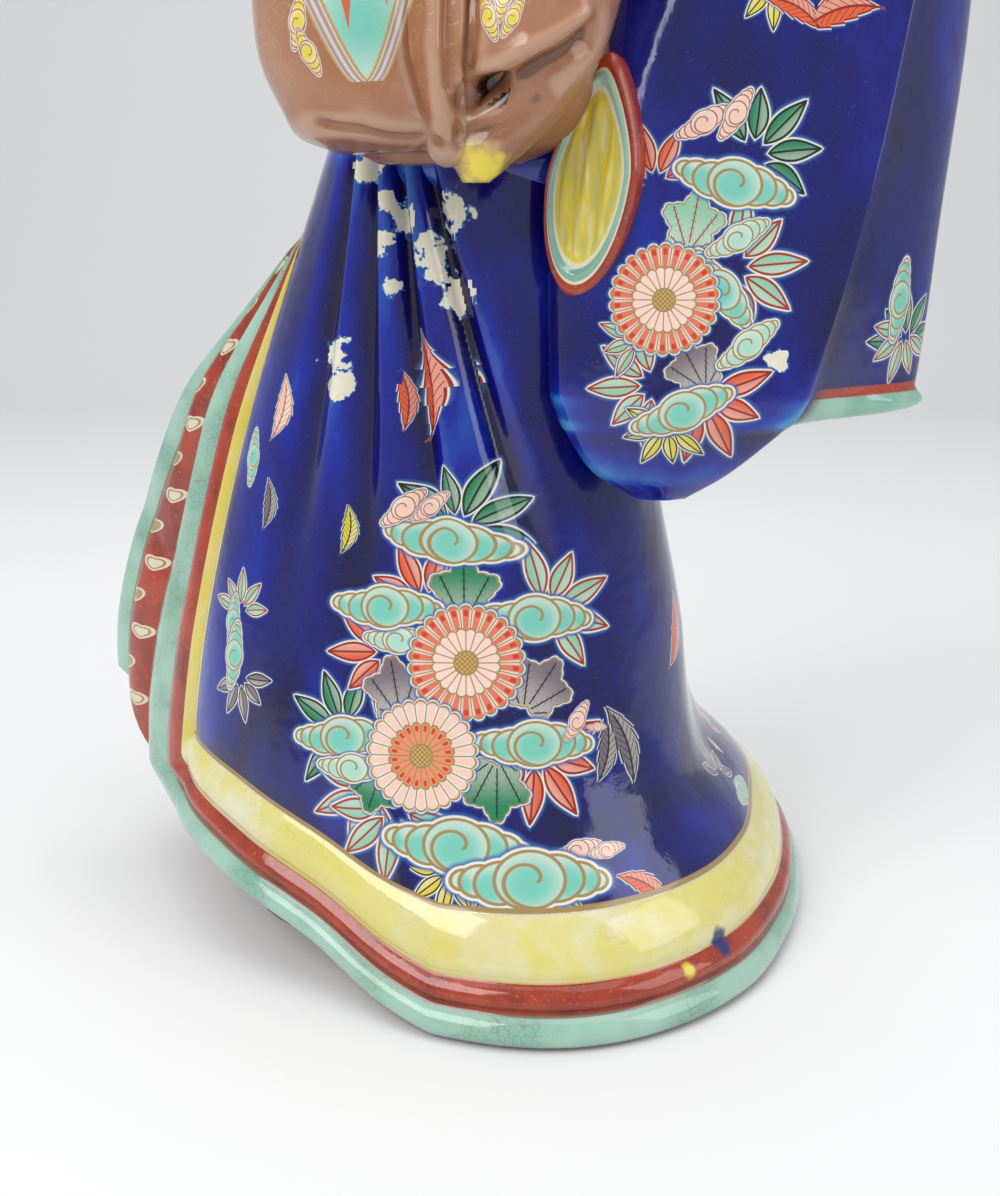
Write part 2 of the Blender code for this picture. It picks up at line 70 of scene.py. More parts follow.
# Where the photo was taken from, in the same layout. Pixels are those of a 1000 x 1196 picture.
view = {"distance": 31.1, "height": 16.5, "pitch": 15.8, "focal": 1300, "picture": (1000, 1196)}


def smooth(low, high, value):
    share = min(1, max(0, (value - low) / (high - low)))
    return share * share * (3 - 2 * share)


def through(knots, values, at, turn=None):  # a smooth curve through the knots, closed if it has a turn
    count = len(knots)
    if turn is None and at <= knots[0]:
        return values[0]
    if turn is None and at >= knots[-1]:
        return values[-1]
    if turn is not None:
        at = knots[0] + (at - knots[0]) % turn
    low = max(i for i in range(count) if knots[i] <= at)

    def knot(i):
        if turn is None:
            i = min(count - 1, max(0, i))
            return knots[i], values[i]
        return knots[i % count] + turn * (i // count), values[i % count]

    (k0, v0), (k1, v1), (k2, v2), (k3, v3) = (knot(low + j) for j in (-1, 0, 1, 2))
    gap = k2 - k1
    slopeIn = (v2 - v0) / (k2 - k0) * gap
    slopeOut = (v3 - v1) / (k3 - k1) * gap
    s = (at - k1) / gap
    return (
        v1 * (2 * s**3 - 3 * s**2 + 1)
        + slopeIn * (s**3 - 2 * s**2 + s)
        + v2 * (3 * s**2 - 2 * s**3)
        + slopeOut * (s**3 - s**2)
    )


def pixelRay(x, y):  # the photo camera's place and the way it looks through a pixel
    pitch = math.radians(view["pitch"])
    wide, tall = view["picture"]
    right = (x - wide / 2) / view["focal"]
    down = (y - tall / 2) / view["focal"]
    ahead = Vector((0, math.cos(pitch), -math.sin(pitch)))
    up = Vector((0, math.sin(pitch), math.cos(pitch)))
    return Vector((0, -view["distance"], view["height"])), Vector((right, 0, 0)) + ahead - up * down


# Every form starts as a circle and is drawn out ring by ring.


def loft(rings, coords):  # coords: a place on the surface for each point, for patterns that follow it
    count = len(rings[0])
    mesh = bmesh.new()
    rim = bmesh.ops.create_circle(mesh, segments=count, radius=1)["verts"]
    for vert, point in zip(rim, rings[0]):
        vert.co = point
    first = rim
    spots = {vert: (0, i) for i, vert in enumerate(rim)}
    for row, ring in enumerate(rings[1:], 1):
        edges = [mesh.edges.get((rim[i], rim[(i + 1) % count])) for i in range(count)]
        made = bmesh.ops.extrude_edge_only(mesh, edges=edges)["geom"]
        fresh = {item for item in made if isinstance(item, bmesh.types.BMVert)}
        rim = [next(e.other_vert(v) for e in v.link_edges if e.other_vert(v) in fresh) for v in rim]
        for i, vert in enumerate(rim):
            vert.co = ring[i]
            spots[vert] = (row, i)
    layer = mesh.loops.layers.uv.new("layers")
    for face in mesh.faces:
        columns = {spots[loop.vert][1] for loop in face.loops}
        wraps = 0 in columns and count - 1 in columns
        for loop in face.loops:
            row, i = spots[loop.vert]
            loop[layer].uv = coords[row][count if wraps and i == 0 else i]
        widest = max(loop[layer].uv.x for loop in face.loops)
        for loop in face.loops:
            if widest - loop[layer].uv.x > 0.9:  # the seam's far side
                loop[layer].uv.x = widest
    for end, row in ((first, 0), (rim, len(rings) - 1)):  # closes both ends
        edges = [mesh.edges.get((end[i], end[(i + 1) % count])) for i in range(count)]
        for face in bmesh.ops.edgeloop_fill(mesh, edges=edges)["faces"]:
            for loop in face.loops:
                loop[layer].uv = coords[row][spots[loop.vert][1]]
    bmesh.ops.recalc_face_normals(mesh, faces=mesh.faces)
    return mesh


def join(target, extra):  # adds one form's mesh to another's
    data = bpy.data.meshes.new("extra")
    extra.to_mesh(data)
    extra.free()
    target.from_mesh(data)
    bpy.data.meshes.remove(data)


def finish(name, mesh, material, replaces=None):  # puts a form in its place as one piece
    bmesh.ops.transform(mesh, matrix=place, verts=mesh.verts)
    for vert in mesh.verts:
        vert.co = [min(max(value, low), high) for value, low, high in zip(vert.co, *cadBox)]
    data = bpy.data.meshes.new(name)
    mesh.to_mesh(data)
    mesh.free()
    data.shade_smooth()
    data.materials.append(material)
    piece = bpy.data.objects.new(name, data)
    bpy.context.scene.collection.objects.link(piece)
    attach(piece, "root")
    if replaces:
        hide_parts(replaces)
    print("made", name, "with", sum(len(p.vertices) - 2 for p in data.polygons), "triangles")
    return piece


def skin(rows, around, up):  # a closed form through rows of plan points
    count = len(rows[0][1])
    nets = [[Vector((x, y, z)) for x, y in points] for z, points in rows]
    levels = [z for z, points in rows]
    rings, coords = [], []
    for step in range((len(rows) - 1) * up + 1):
        low = min(step // up, len(rows) - 2)
        at = levels[low] + (levels[low + 1] - levels[low]) * (step / up - low)
        row = [through(levels, [net[i] for net in nets], at) for i in range(count)]
        ring = [through(list(range(count)), row, count * k / around, turn=count) for k in range(around)]
        rings.append(ring)
        coords.append([(k / around, ring[k % around].z) for k in range(around + 1)])
    return loft(rings, coords)


def ovalRows(rows, yaw=0.0):  # rows of eight plan points round ovals: height, centre and two half sizes
    turned = Matrix.Rotation(math.radians(yaw), 2)
    made = []
    for z, x, y, halfX, halfY in rows:
        points = []
        for i in range(8):
            turn = math.tau * i / 8
            offset = turned @ Vector((math.cos(turn) * halfX, math.sin(turn) * halfY))
            points.append((x + offset.x, y + offset.y))
        made.append((z, points))
    return made


def limb(joints, radii, around=32, perSpan=12):  # a round form along joints, a radius at each
    joints = [Vector(j) for j in joints]
    path, sizes = [], []
    for i in range(len(joints) - 1):
        back = joints[max(0, i - 1)]
        beyond = joints[min(len(joints) - 1, i + 2)]
        handleOut = joints[i] + (joints[i + 1] - back) / 6
        handleIn = joints[i + 1] - (beyond - joints[i]) / 6
        curve = interpolate_bezier(joints[i], handleOut, handleIn, joints[i + 1], perSpan + 1)
        last = i == len(joints) - 2
        for k, point in enumerate(curve if last else curve[:-1]):
            path.append(point)
            sizes.append(radii[i] + (radii[i + 1] - radii[i]) * k / perSpan)
    rings, coords = [], []
    aside = (path[1] - path[0]).orthogonal()
    length = 0.0
    steps = list(zip(path, sizes))
    start = (path[0] - path[1]).normalized()
    end = (path[-1] - path[-2]).normalized()
    domed = [0.25, 0.5, 0.75, 0.93]  # the round ends' rings, as shares of the radius
    first = [(path[0] + start * sizes[0] * s, sizes[0] * (1 - s * s) ** 0.5) for s in domed[::-1]]
    final = [(path[-1] + end * sizes[-1] * s, sizes[-1] * (1 - s * s) ** 0.5) for s in domed]
    steps = first + steps + final
    for i, (point, size) in enumerate(steps):
        before = steps[max(i - 1, 0)][0]
        after = steps[min(i + 1, len(steps) - 1)][0]
        along = (after - before).normalized()
        aside = (aside - along * aside.dot(along)).normalized()
        across = aside.cross(along)
        length += (point - before).length
        ring = []
        for k in range(around):
            a = math.tau * k / around
            ring.append(point + (aside * math.cos(a) + across * math.sin(a)) * size)
        rings.append(ring)
        coords.append([(k / around, length) for k in range(around + 1)])
    return loft(rings, coords)


def directed(forward, side, up, centre):  # a point from a centre, along her own forward and left
    facing = math.radians(-layout["turn"])
    ahead = Vector((math.sin(facing), -math.cos(facing), 0))
    left = Vector((math.cos(facing), math.sin(facing), 0))
    return Vector(centre) + ahead * forward + left * side + Vector((0, 0, up))


def egg(centre, halfSide, halfAhead, halfUp, tilt=0.0, steps=64):  # turned as she faces, leant back
    mesh = bmesh.new()
    bmesh.ops.create_uvsphere(mesh, u_segments=steps, v_segments=steps // 2, radius=1)
    size = Matrix.Diagonal((halfSide, halfAhead, halfUp, 1))
    lean = Matrix.Rotation(math.radians(-tilt), 4, "X")
    turn = Matrix.Rotation(math.radians(-layout["turn"]), 4, "Z")
    bmesh.ops.transform(
        mesh, matrix=Matrix.Translation(Vector(centre)) @ turn @ lean @ size, verts=mesh.verts
    )
    return mesh


# The robe: one skirt with three hem rolls, and its layered free edges fanning out at her right.
# Radii about the waist line by direction in degrees (0 right, 90 away, 270 near the viewer) and height.
robe = {
    "heights": [0.0, 1.3, 2.6, 4.2, 7.6, 12.5, 18.5],
    "radii": {
        0: [7.5, 7.35, 6.5, 5.1, 4.45, 3.55, 3.7],
        30: [8.7, 8.4, 7.6, 6.0, 4.5, 3.65, 3.65],
        55: [10.0, 9.7, 8.8, 7.0, 4.8, 3.9, 3.6],
        85: [11.2, 10.9, 10.0, 8.1, 5.4, 4.3, 3.6],
        115: [10.6, 10.4, 9.7, 8.2, 5.8, 4.5, 3.5],
        140: [9.0, 8.9, 8.6, 7.8, 6.2, 4.8, 3.4],
        163: [8.4, 8.4, 8.3, 8.0, 7.1, 5.4, 3.5],
        188: [7.85, 7.85, 7.8, 7.7, 7.15, 5.85, 3.75],
        210: [7.0, 7.0, 6.95, 6.75, 6.05, 5.15, 3.85],
        235: [6.35, 6.3, 6.2, 5.95, 5.2, 4.5, 3.75],
        260: [7.0, 6.8, 6.3, 5.6, 4.75, 4.2, 3.75],
        285: [7.5, 7.25, 6.5, 5.45, 4.55, 4.0, 3.7],
        315: [7.45, 7.2, 6.5, 5.3, 4.45, 3.8, 3.65],
        335: [7.25, 7.1, 6.4, 5.15, 4.45, 3.6, 3.7],
    },
    "top": 18.5,
    "green": 0.7,  # heights of the hem's rolls, from the ground up
    "red": 0.6,
    "yellow": 1.25,
    "rollBase": [0.16, -0.03, -0.03],  # how far each roll stands out at its edges and in its middle
    "rollBulge": [0.26, 0.25, 0.17],
    "toe": 0.14,
    "groove": 0.12,
    "edgeDirection": 188,
    "edgeFan": 25,
    "edgeApex": 16.4,
    "edgeOpen": 9.5,
    "edgeHeights": [2.0, 5.2, 6.9, 9.5, 12.3, 14.9, 16.4],
    "edgeReach": [2.5, 3.35, 3.55, 3.4, 2.6, 0.9, 0.0],
    "edgeBack": 22,
    "edgePower": 2.4,
    "lip": 0.3,
    "lips": [0.0, 0.09, 0.34, 0.63, 0.87, 1.0],  # yellow, red, pale green, dotted red, pale green
    "liftDirections": [100, 118, 140, 155, 163, 167, 173, 184, 205, 227, 243, 258],
    "liftHeights": [0, 0.5, 2.6, 4.2, 4.8, 4.4, 2.7, 2.4, 2.0, 1.25, 0.45, 0],
    "footInset": 1.5,
    "footReach": 7.6,
    "soleInset": 0.25,
    "foldTop": 18.3,
    "folds": [(216, -0.4, 0.3), (225, 0.7, 0.4), (234, 2.2, 0.44), (244, 4.2, 0.36)],
    "backWaves": 8,
    "backDepth": 0.3,
    "around": [(188, 213, 26), (213, 277, 96), (277, 385, 84), (385, 500, 70), (500, None, 30)],
    "lipSteps": 9,
    "hemRings": 38,
    "bodyRings": 96,
}

hemTops = [0.0, robe["green"], robe["green"] + robe["red"], robe["green"] + robe["red"] + robe["yellow"]]


def lift(direction):  # how far the hem is off the ground
    return through(robe["liftDirections"], robe["liftHeights"], direction)


def robeHeight(direction, level):
    hem = lift(direction % 360)
    return hem + level * (robe["top"] - hem) / robe["top"]


def edgeTip(level):  # direction of the last layer's edge at this level
    height = robeHeight(robe["edgeDirection"] - robe["edgeFan"], level)
    share = min(1, max(0, (robe["edgeApex"] - height) / (robe["edgeApex"] - robe["edgeOpen"])))
    return robe["edgeDirection"] - 0.5 - robe["edgeFan"] * share**0.5


def robeRadius(direction, height):
    directions = sorted(robe["radii"])
    radii = [through(robe["heights"], robe["radii"][d], height) for d in directions]
    return through(directions, radii, direction, turn=360)


def foldDepth(direction, height):  # the folds gathered under the bow, and the long ones behind her
    below = robe["foldTop"] - height
    depth = 0.0
    fade = smooth(7.0, 13.0, height) * (1 - smooth(18.0, 18.5, height))
    for start, spread, deep in robe["folds"]:
        width = 2.2 + 0.45 * max(0, below)
        depth += deep * fade * math.exp(-(((direction - start - spread * below) / width) ** 2))
    wave = 0.5 + 0.5 * math.cos(math.radians(direction * robe["backWaves"]))
    behind = smooth(30, 60, direction) * (1 - smooth(115, 140, direction))
    long = smooth(3.0, 7.0, height) * (1 - smooth(13, 18, height))
    return depth + robe["backDepth"] * wave * behind * long


def robePoint(direction, level, tip, outward=0.0):  # a point outside the layered edges
    direction %= 360
    height = robeHeight(direction, level)
    radius = robeRadius(direction, height) - foldDepth(direction, height)
    behind = tip - direction
    if -0.01 <= behind < robe["edgeBack"]:
        reach = through(robe["edgeHeights"], robe["edgeReach"], height)
        radius += reach * (1 - behind / robe["edgeBack"]) ** robe["edgePower"]
        outward *= smooth(0, robe["edgeBack"], behind)
    radius += outward
    angle = math.radians(direction)
    return Vector((radius * math.cos(angle), radius * math.sin(angle), height))


def hemRoll(level):  # how far the hem's rolls stand out of the robe at this level
    for low, high, base, bulge in zip(hemTops, hemTops[1:], robe["rollBase"], robe["rollBulge"]):
        if level < high:
            share = (level - low) / (high - low)
            if low == 0.0:
                share = max(share, 0.12)
            return base + bulge * max(0, math.sin(math.pi * share)) ** 0.6
    return base * (1 - smooth(high, high + 0.6, level)) - 0.4 * smooth(18.2, 18.5, level)


def hemShare(level):  # which part of the free edges a level of the hem's rolls runs on into
    shares = robe["lips"][3::-1]
    for i in range(3):
        if level <= hemTops[i + 1]:
            part = max(0, level - hemTops[i]) / (hemTops[i + 1] - hemTops[i])
            return shares[i] + (shares[i + 1] - shares[i]) * part
    return 0.0


def robeRing(level):  # round the body from the blue edge, then back over the layered edges
    tip = edgeTip(level)
    outward = hemRoll(level)
    points, coords = [], []
    turned = 0.0
    for start, end, steps in robe["around"]:
        end = end or 360 + tip
        for i in range(steps):
            direction = start + (end - start) * i / steps
            points.append(robePoint(direction, level, tip, outward))
            turned = (direction - robe["edgeDirection"]) / 360
            coords.append((-turned if direction < 470 else 1 + (360 + tip - direction) / 360, level))
    blue = robePoint(robe["edgeDirection"], level, tip)
    last = robePoint(tip, level, tip)
    opened = min(1, (last - blue).length / 3)
    lips = robe["lips"]
    shares = []
    for low, high in zip(lips[-2::-1], lips[:0:-1]):
        shares += [(low, high, i / robe["lipSteps"]) for i in range(robe["lipSteps"])]
    shares.append((lips[0], lips[1], 0.93))
    hem = hemShare(level)
    for low, high, part in shares:
        share = high - (high - low) * (0.5 - 0.5 * math.cos(math.pi * part))
        point = blue.lerp(last, share)
        point.z = robeHeight(robe["edgeDirection"] + (tip - robe["edgeDirection"]) * share, level)
        layer = max(share, hem)
        under = max(lip for lip in lips[:-1] if lip <= layer)
        over = lips[lips.index(under) + 1]
        bulge = max(0, math.sin(math.pi * (layer - under) / (over - under))) ** 0.7
        edged = smooth(0, hem, share) if share < hem else 1.0
        out = Vector((point.x, point.y, 0)).normalized()
        rise = (robe["lip"] * bulge - robe["groove"]) * opened * edged
        points.append(point + out * (rise + outward * (1 - edged)))
        coords.append((share, level))
    coords.append((0.0, level))
    return points, coords


def footRing(height, inset, hem):  # the foot stays inside the hem where the hem is lifted
    ring = []
    for point in hem:
        lifted = smooth(0.05, 0.9, point.z)
        flat = Vector((point.x, point.y, 0))
        radius = flat.length - inset
        radius += (min(radius, robe["footReach"]) - robe["footInset"] - radius) * lifted
        ring.append(flat.normalized() * radius + Vector((0, 0, height)))
    return ring


def robeForm():
    toe, seam, top = robe["toe"], hemTops[3] + 0.1, robe["top"]
    levels = [toe + (seam - toe) * i / robe["hemRings"] for i in range(robe["hemRings"])]
    levels += [seam + (top - seam) * i / robe["bodyRings"] for i in range(robe["bodyRings"] + 1)]
    hem = robeRing(0.0)[0]
    flat = [(-0.5, -1.0)] * (len(hem) + 1)
    rings = [footRing(0.0, robe["soleInset"], hem), footRing(0.35, robe["soleInset"] + 0.1, hem)]
    coords = [flat, flat]
    for level in levels:
        ring, ringCoords = robeRing(level)
        rings.append(ring)
        coords.append(ringCoords)
    return loft(rings, coords)


# The upper body, its sleeves and the open edge of the left one.
torso = [  # height, then x, y of the centre, half width and half depth
    (16.9, 0.35, 0.0, 3.2, 3.0),
    (17.5, 0.35, 0.0, 3.85, 3.75),
    (18.2, 0.4, 0.0, 3.8, 3.75),
    (18.6, 0.45, 0.05, 3.6, 3.4),
    (18.9, 0.45, 0.05, 3.75, 3.55),
    (21.0, 0.6, 0.1, 3.7, 3.35),
    (23.2, 0.85, 0.2, 3.75, 3.2),
    (23.4, 0.87, 0.2, 3.55, 2.95),
    (24.6, 0.95, 0.25, 3.8, 3.05),
    (26.0, 1.1, 0.3, 3.95, 2.75),
    (26.9, 1.2, 0.3, 3.35, 2.3),
    (27.6, 1.25, 0.2, 2.2, 1.8),
    (28.2, 1.25, 0.1, 1.4, 1.35),
]

# Height, then points round the plan: inner corner of the near face, its middle, the outer corner
# twice for a firm ridge, the outer face and the far side.
leftSleeve = [
    (11.05, [(2.9, -4.2), (3.4, -4.35), (3.8, -4.2), (3.9, -4.1), (3.7, -3.8), (3.3, -3.7), (2.9, -3.9)]),
    (11.6, [(2.0, -4.3), (3.2, -4.75), (4.5, -4.55), (4.7, -4.2), (4.2, -3.2), (3.3, -2.9), (2.3, -3.3)]),
    (12.5, [(1.4, -4.3), (3.2, -5.1), (5.3, -4.95), (5.7, -4.5), (5.3, -2.9), (3.4, -2.3), (1.8, -2.8)]),
    (12.75, [(1.3, -4.3), (3.25, -5.2), (5.7, -5.1), (6.1, -4.6), (8.7, -2.7), (4.4, -1.9), (1.7, -2.6)]),
    (13.3, [(1.15, -4.3), (3.3, -5.25), (5.95, -5.15), (6.4, -4.65), (9.0, -2.5), (4.6, -1.7), (1.6, -2.4)]),
    (17.0, [(1.1, -3.95), (2.95, -5.1), (6.8, -4.95), (7.2, -4.5), (9.3, -2.3), (5.6, -1.2), (1.9, -1.6)]),
    (20.5, [(1.9, -3.7), (3.6, -4.8), (7.4, -4.7), (7.8, -4.3), (9.5, -2.3), (6.2, -1.1), (2.7, -1.4)]),
    (23.2, [(2.8, -3.4), (5.2, -4.2), (7.8, -4.6), (8.2, -4.2), (9.3, -2.7), (6.6, -1.2), (3.0, -1.0)]),
    (25.2, [(3.0, -2.4), (5.3, -3.4), (7.8, -4.4), (8.2, -4.1), (8.9, -3.2), (6.4, -1.3), (3.2, -0.8)]),
    (26.0, [(3.6, -1.6), (5.4, -2.5), (7.2, -3.4), (7.5, -3.3), (7.6, -3.0), (6.0, -1.8), (3.9, -1.1)]),
]

rightSleeve = [  # height, centre, half length and half thickness, hanging behind her right hip
    (12.7, -1.9, 3.6, 0.9, 0.3),
    (13.2, -1.9, 3.6, 1.7, 0.8),
    (14.6, -1.9, 3.6, 2.0, 1.0),
    (17.5, -2.0, 3.4, 2.0, 1.15),
    (20.5, -2.1, 3.0, 2.0, 1.3),
    (23.0, -2.5, 2.5, 1.9, 1.4),
    (25.0, -2.2, 2.0, 1.7, 1.3),
    (26.2, -1.4, 1.5, 1.2, 0.9),
]

sleeveMouth = {
    "centre": (1.9, -4.5, 17.45),
    "half": (0.98, 2.2),
    "lean": 8,
    "yaw": -32,
    # how far each rim stands out, its size, and its place across the painted rings
    "rims": [
        (-1.2, 0.9, 0.0),
        (-0.1, 1.02, 0.2),
        (0.2, 1.03, 0.4),
        (0.36, 0.97, 0.7),
        (0.36, 0.9, 1.0),
        (0.42, 0.83, 1.5),
        (0.36, 0.76, 2.0),
        (0.38, 0.68, 2.4),
        (0.39, 0.55, 3.0),
        (0.41, 0.38, 3.5),
        (0.43, 0.2, 3.8),
        (0.44, 0.03, 4.0),
    ],
    "folds": 0.06,  # depth of the lining's folds
    "foldCount": 13,
    "narrowing": 0.45,  # of the upper half
    "between": 5,
    "around": 120,
}


def mouthForm():
    values = sleeveMouth
    yaw = Matrix.Rotation(math.radians(values["yaw"]), 3, "Z")
    toward = yaw @ Vector((0, -1, 0))
    aside = yaw @ Vector((1, 0, 0))
    lean = math.tan(math.radians(values["lean"]))
    rims = values["rims"]
    around = values["around"]
    rings, coords = [], []
    for step in range((len(rims) - 1) * values["between"] + 1):
        at = step / values["between"]
        out, size, paint = (through(list(range(len(rims))), [r[k] for r in rims], at) for k in range(3))
        ring = []
        for i in range(around):
            turn = math.tau * i / around
            up = math.sin(turn) * values["half"][1] * size
            narrow = 1 - values["narrowing"] * max(0, math.sin(turn)) ** 1.4
            side = math.cos(turn) * values["half"][0] * size * narrow
            fold = values["folds"] * math.cos(side * values["foldCount"]) * smooth(2.3, 3.0, paint)
            point = Vector(values["centre"]) + aside * (side + up * lean) + toward * (out + fold)
            ring.append(point + Vector((0, 0, up)))
        rings.append(ring)
        coords.append([(i / around, paint) for i in range(around + 1)])
    return loft(rings, coords)


# The obi's bow: two full loops hung from a knot, the cloth behind and a pleat between.
bow = {
    "left": [  # height, centre, half width and half depth
        (17.9, -2.2, -5.2, 0.9, 0.8),
        (18.15, -2.3, -5.2, 1.45, 1.3),
        (18.6, -2.45, -5.2, 1.6, 1.5),
        (19.5, -2.7, -5.15, 1.75, 1.65),
        (20.6, -2.75, -5.1, 1.8, 1.75),
        (21.9, -2.75, -4.95, 1.75, 1.6),
        (23.0, -2.7, -4.75, 1.45, 1.25),
        (23.6, -2.75, -4.6, 0.8, 0.6),
    ],
    "right": [
        (17.35, -0.45, -5.7, 0.25, 0.25),
        (17.9, -0.25, -5.55, 0.75, 0.6),
        (18.7, 0.15, -5.4, 1.15, 1.0),
        (19.6, 0.45, -5.4, 1.45, 1.5),
        (20.8, 0.7, -5.3, 1.6, 1.6),
        (21.9, 0.95, -5.15, 1.75, 1.5),
        (23.0, 1.05, -4.85, 1.5, 1.2),
        (23.6, 1.1, -4.65, 0.8, 0.6),
    ],
    "back": [
        (17.75, -1.0, -4.1, 1.4, 0.8),
        (18.2, -0.9, -4.0, 2.4, 1.3),
        (18.9, -0.8, -4.1, 2.8, 1.7),
        (20.0, -0.8, -4.2, 2.9, 1.85),
        (22.5, -0.7, -4.1, 2.6, 1.7),
        (23.4, -0.6, -3.5, 1.8, 0.8),
    ],
    "pleat": [(-1.05, -5.3, 22.4), (-1.15, -5.85, 21.2), (-1.1, -6.0, 19.6), (-0.95, -5.8, 18.0)],
    "pleatRadii": [0.7, 0.72, 0.66, 0.4],
    "knot": ((-0.95, -5.7, 22.9), 1.0, 0.9, 1.1),
    "strokes": [  # photo pixels along each ridge or groove, its width and how far it rises
        ([(437, -40), (434, 40), (438, 100), (447, 136)], 0.17, 0.13),
        ([(462, -40), (458, 40), (455, 78)], 0.13, 0.1),
        ([(448, -40), (446, 30), (448, 85)], 0.1, -0.12),
        ([(475, -40), (473, 30), (470, 66)], 0.12, -0.1),
        ([(462, 84), (492, 72), (530, 48), (584, 14)], 0.2, 0.16),
        ([(468, 96), (505, 88), (545, 70), (590, 40)], 0.34, -0.3),
        ([(474, 91), (496, 86)], 0.17, -0.5),
        ([(322, 124), (360, 130), (410, 138), (440, 142)], 0.1, -0.1),
        ([(345, 150), (400, 166), (440, 176)], 0.2, 0.08),
        ([(455, 135), (500, 125), (540, 100)], 0.25, -0.12),
    ],
}


def press(mesh, strokes):  # ridges and grooves pressed into a form along lines of photo pixels
    tree = BVHTree.FromBMesh(mesh)
    mesh.normal_update()
    moves = {}
    for pixels, width, rise in strokes:
        path = [tree.ray_cast(*pixelRay(*pixel))[0] for pixel in pixels]
        path = [point for point in path if point]
        for vert in mesh.verts:
            nearest = math.inf
            for start, end in zip(path, path[1:]):
                spot, part = intersect_point_line(vert.co, start, end)
                spot = start if part < 0 else end if part > 1 else spot
                nearest = min(nearest, (vert.co - spot).length)
            if nearest < width * 3:
                strength = rise * math.exp(-((nearest / width) ** 2))
                moves[vert] = moves.get(vert, Vector()) + vert.normal * strength
    for vert, move in moves.items():
        vert.co += move


def bowForm():
    mesh = skin(ovalRows(bow["left"]), 128, 14)
    join(mesh, skin(ovalRows(bow["right"]), 144, 16))
    join(mesh, skin(ovalRows(bow["back"]), 96, 10))
    join(mesh, limb(bow["pleat"], bow["pleatRadii"], 64, 24))
    join(mesh, egg(*bow["knot"]))
    press(mesh, bow["strokes"])
    return mesh


# Arms, hands, neck, face and hair.
body = {
    "head": (0.85, -0.75, 30.6),
    "headSize": (1.5, 1.6, 1.95),
    "neck": [(1.3, 0.15, 27.6), (1.15, -0.15, 28.7), (0.95, -0.45, 29.9)],
    "neckFoot": (1.2, 0.2, 27.6),
    "neckRadii": [1.1, 0.82, 0.9],
    "leftArm": [(2.9, -0.2, 26.2), (5.6, -1.9, 25.0), (8.5, -3.4, 24.8)],
    "leftHand": [(8.1, -3.2, 24.8), (9.4, -4.1, 24.8), (10.18, -4.72, 25.45)],
    "rightArm": [(-1.5, 1.4, 26.1), (-3.2, 2.0, 24.5), (-3.4, -0.1, 23.6), (-2.1, -2.1, 24.9)],
    "rightHand": [(-2.3, -1.8, 24.8), (-1.3, -3.1, 25.5), (-0.5, -3.1, 26.0)],
    "leftArmRadii": [1.4, 1.3, 1.2],
    "rightArmRadii": [1.25, 1.3, 1.2, 1.0],
    "collars": [(-1, 0.0, 0.42), (1, 0.12, 0.42)],
}


def collarForm(side, out, width):  # from her nape, over a shoulder and across her chest
    neck = body["neckFoot"]
    joints = [
        directed(-1.3 - out, 0, 0.75, neck),
        directed(-0.2, (1.45 + out) * side, 0.45, neck),
        directed(1.75 + out, 1.05 * side, -0.9, neck),
        directed(2.75 + out, -0.15 * side, -2.6, neck),
        directed(3.05 + out, -1.3 * side, -4.3, neck),
    ]
    return limb(joints, [width] * 5, 32)


face = {
    "relief": [  # place beside and above the face's middle, half width and height, and how far it rises
        (0.0, -0.32, 0.15, 0.2, 0.27),
        (0.0, -0.05, 0.11, 0.3, 0.13),
        (0.13, -0.4, 0.09, 0.09, 0.07),
        (0.6, 0.18, 0.34, 0.22, -0.1),
        (0.58, 0.1, 0.24, 0.12, 0.06),
        (0.5, 0.5, 0.45, 0.14, 0.03),
        (0.8, -0.45, 0.5, 0.45, 0.05),
        (0.0, -0.86, 0.24, 0.07, 0.08),
        (0.0, -1.03, 0.2, 0.08, 0.08),
        (0.0, -0.93, 0.28, 0.03, -0.03),
        (0.0, -1.5, 0.4, 0.3, 0.08),
    ],
    "brow": (0.6, 0.62, 0.4, 0.045),  # middle beside and above, half length and half thickness
    "eye": (0.58, 0.12, 0.3, 0.085),
    "iris": 0.1,
    "mouth": (0.0, -0.93, 0.27, 0.11),
    "blush": (0.85, -0.4, 0.45),
}


def headForm():
    head = body["head"]
    mesh = egg(head, *body["headSize"], steps=160)
    origin = Vector(head)
    axes = [directed(*axis, (0, 0, 0)) for axis in ((0, 1, 0), (0, 0, 1), (1, 0, 0))]
    for vert in mesh.verts:
        side, up, ahead = (axis.dot(vert.co - origin) for axis in axes)
        if ahead > 0:
            rise = sum(
                height * math.exp(-(((abs(side) - x) / wide) ** 2) - ((up - z) / tall) ** 2)
                for x, z, wide, tall, height in face["relief"]
            )
            vert.co += axes[2] * rise * smooth(0.1, 0.7, ahead)
    join(mesh, limb(body["neck"], body["neckRadii"], 48))
    layer = mesh.verts.layers.float_vector.new("facePlace")
    for vert in mesh.verts:
        vert[layer] = [axis.dot(vert.co - origin) for axis in axes]
    return mesh


hair = {  # each mass: where it lies ahead, beside and above the head's middle, and its half sizes
    "crown": ((-0.5, 0, 0.62), (1.95, 1.75, 1.75)),
    "crownTilt": 12,
    "masses": [
        ((-0.35, 1.45, 0.1), (0.75, 1.25, 1.15)),
        ((-0.35, -1.45, 0.1), (0.75, 1.25, 1.15)),
        ((-0.75, 0, 2.42), (1.05, 1.5, 0.98)),  # the top knot
        ((-2.1, 0, -0.35), (1.05, 1.0, 0.95)),
    ],
    "tie": 0.0178,  # metres above the head's middle
}


def hairForm():
    where, size = hair["crown"]
    mesh = egg(directed(*where, body["head"]), *size, hair["crownTilt"], 128)
    for where, size in hair["masses"]:
        join(mesh, egg(directed(*where, body["head"]), *size))
    return mesh


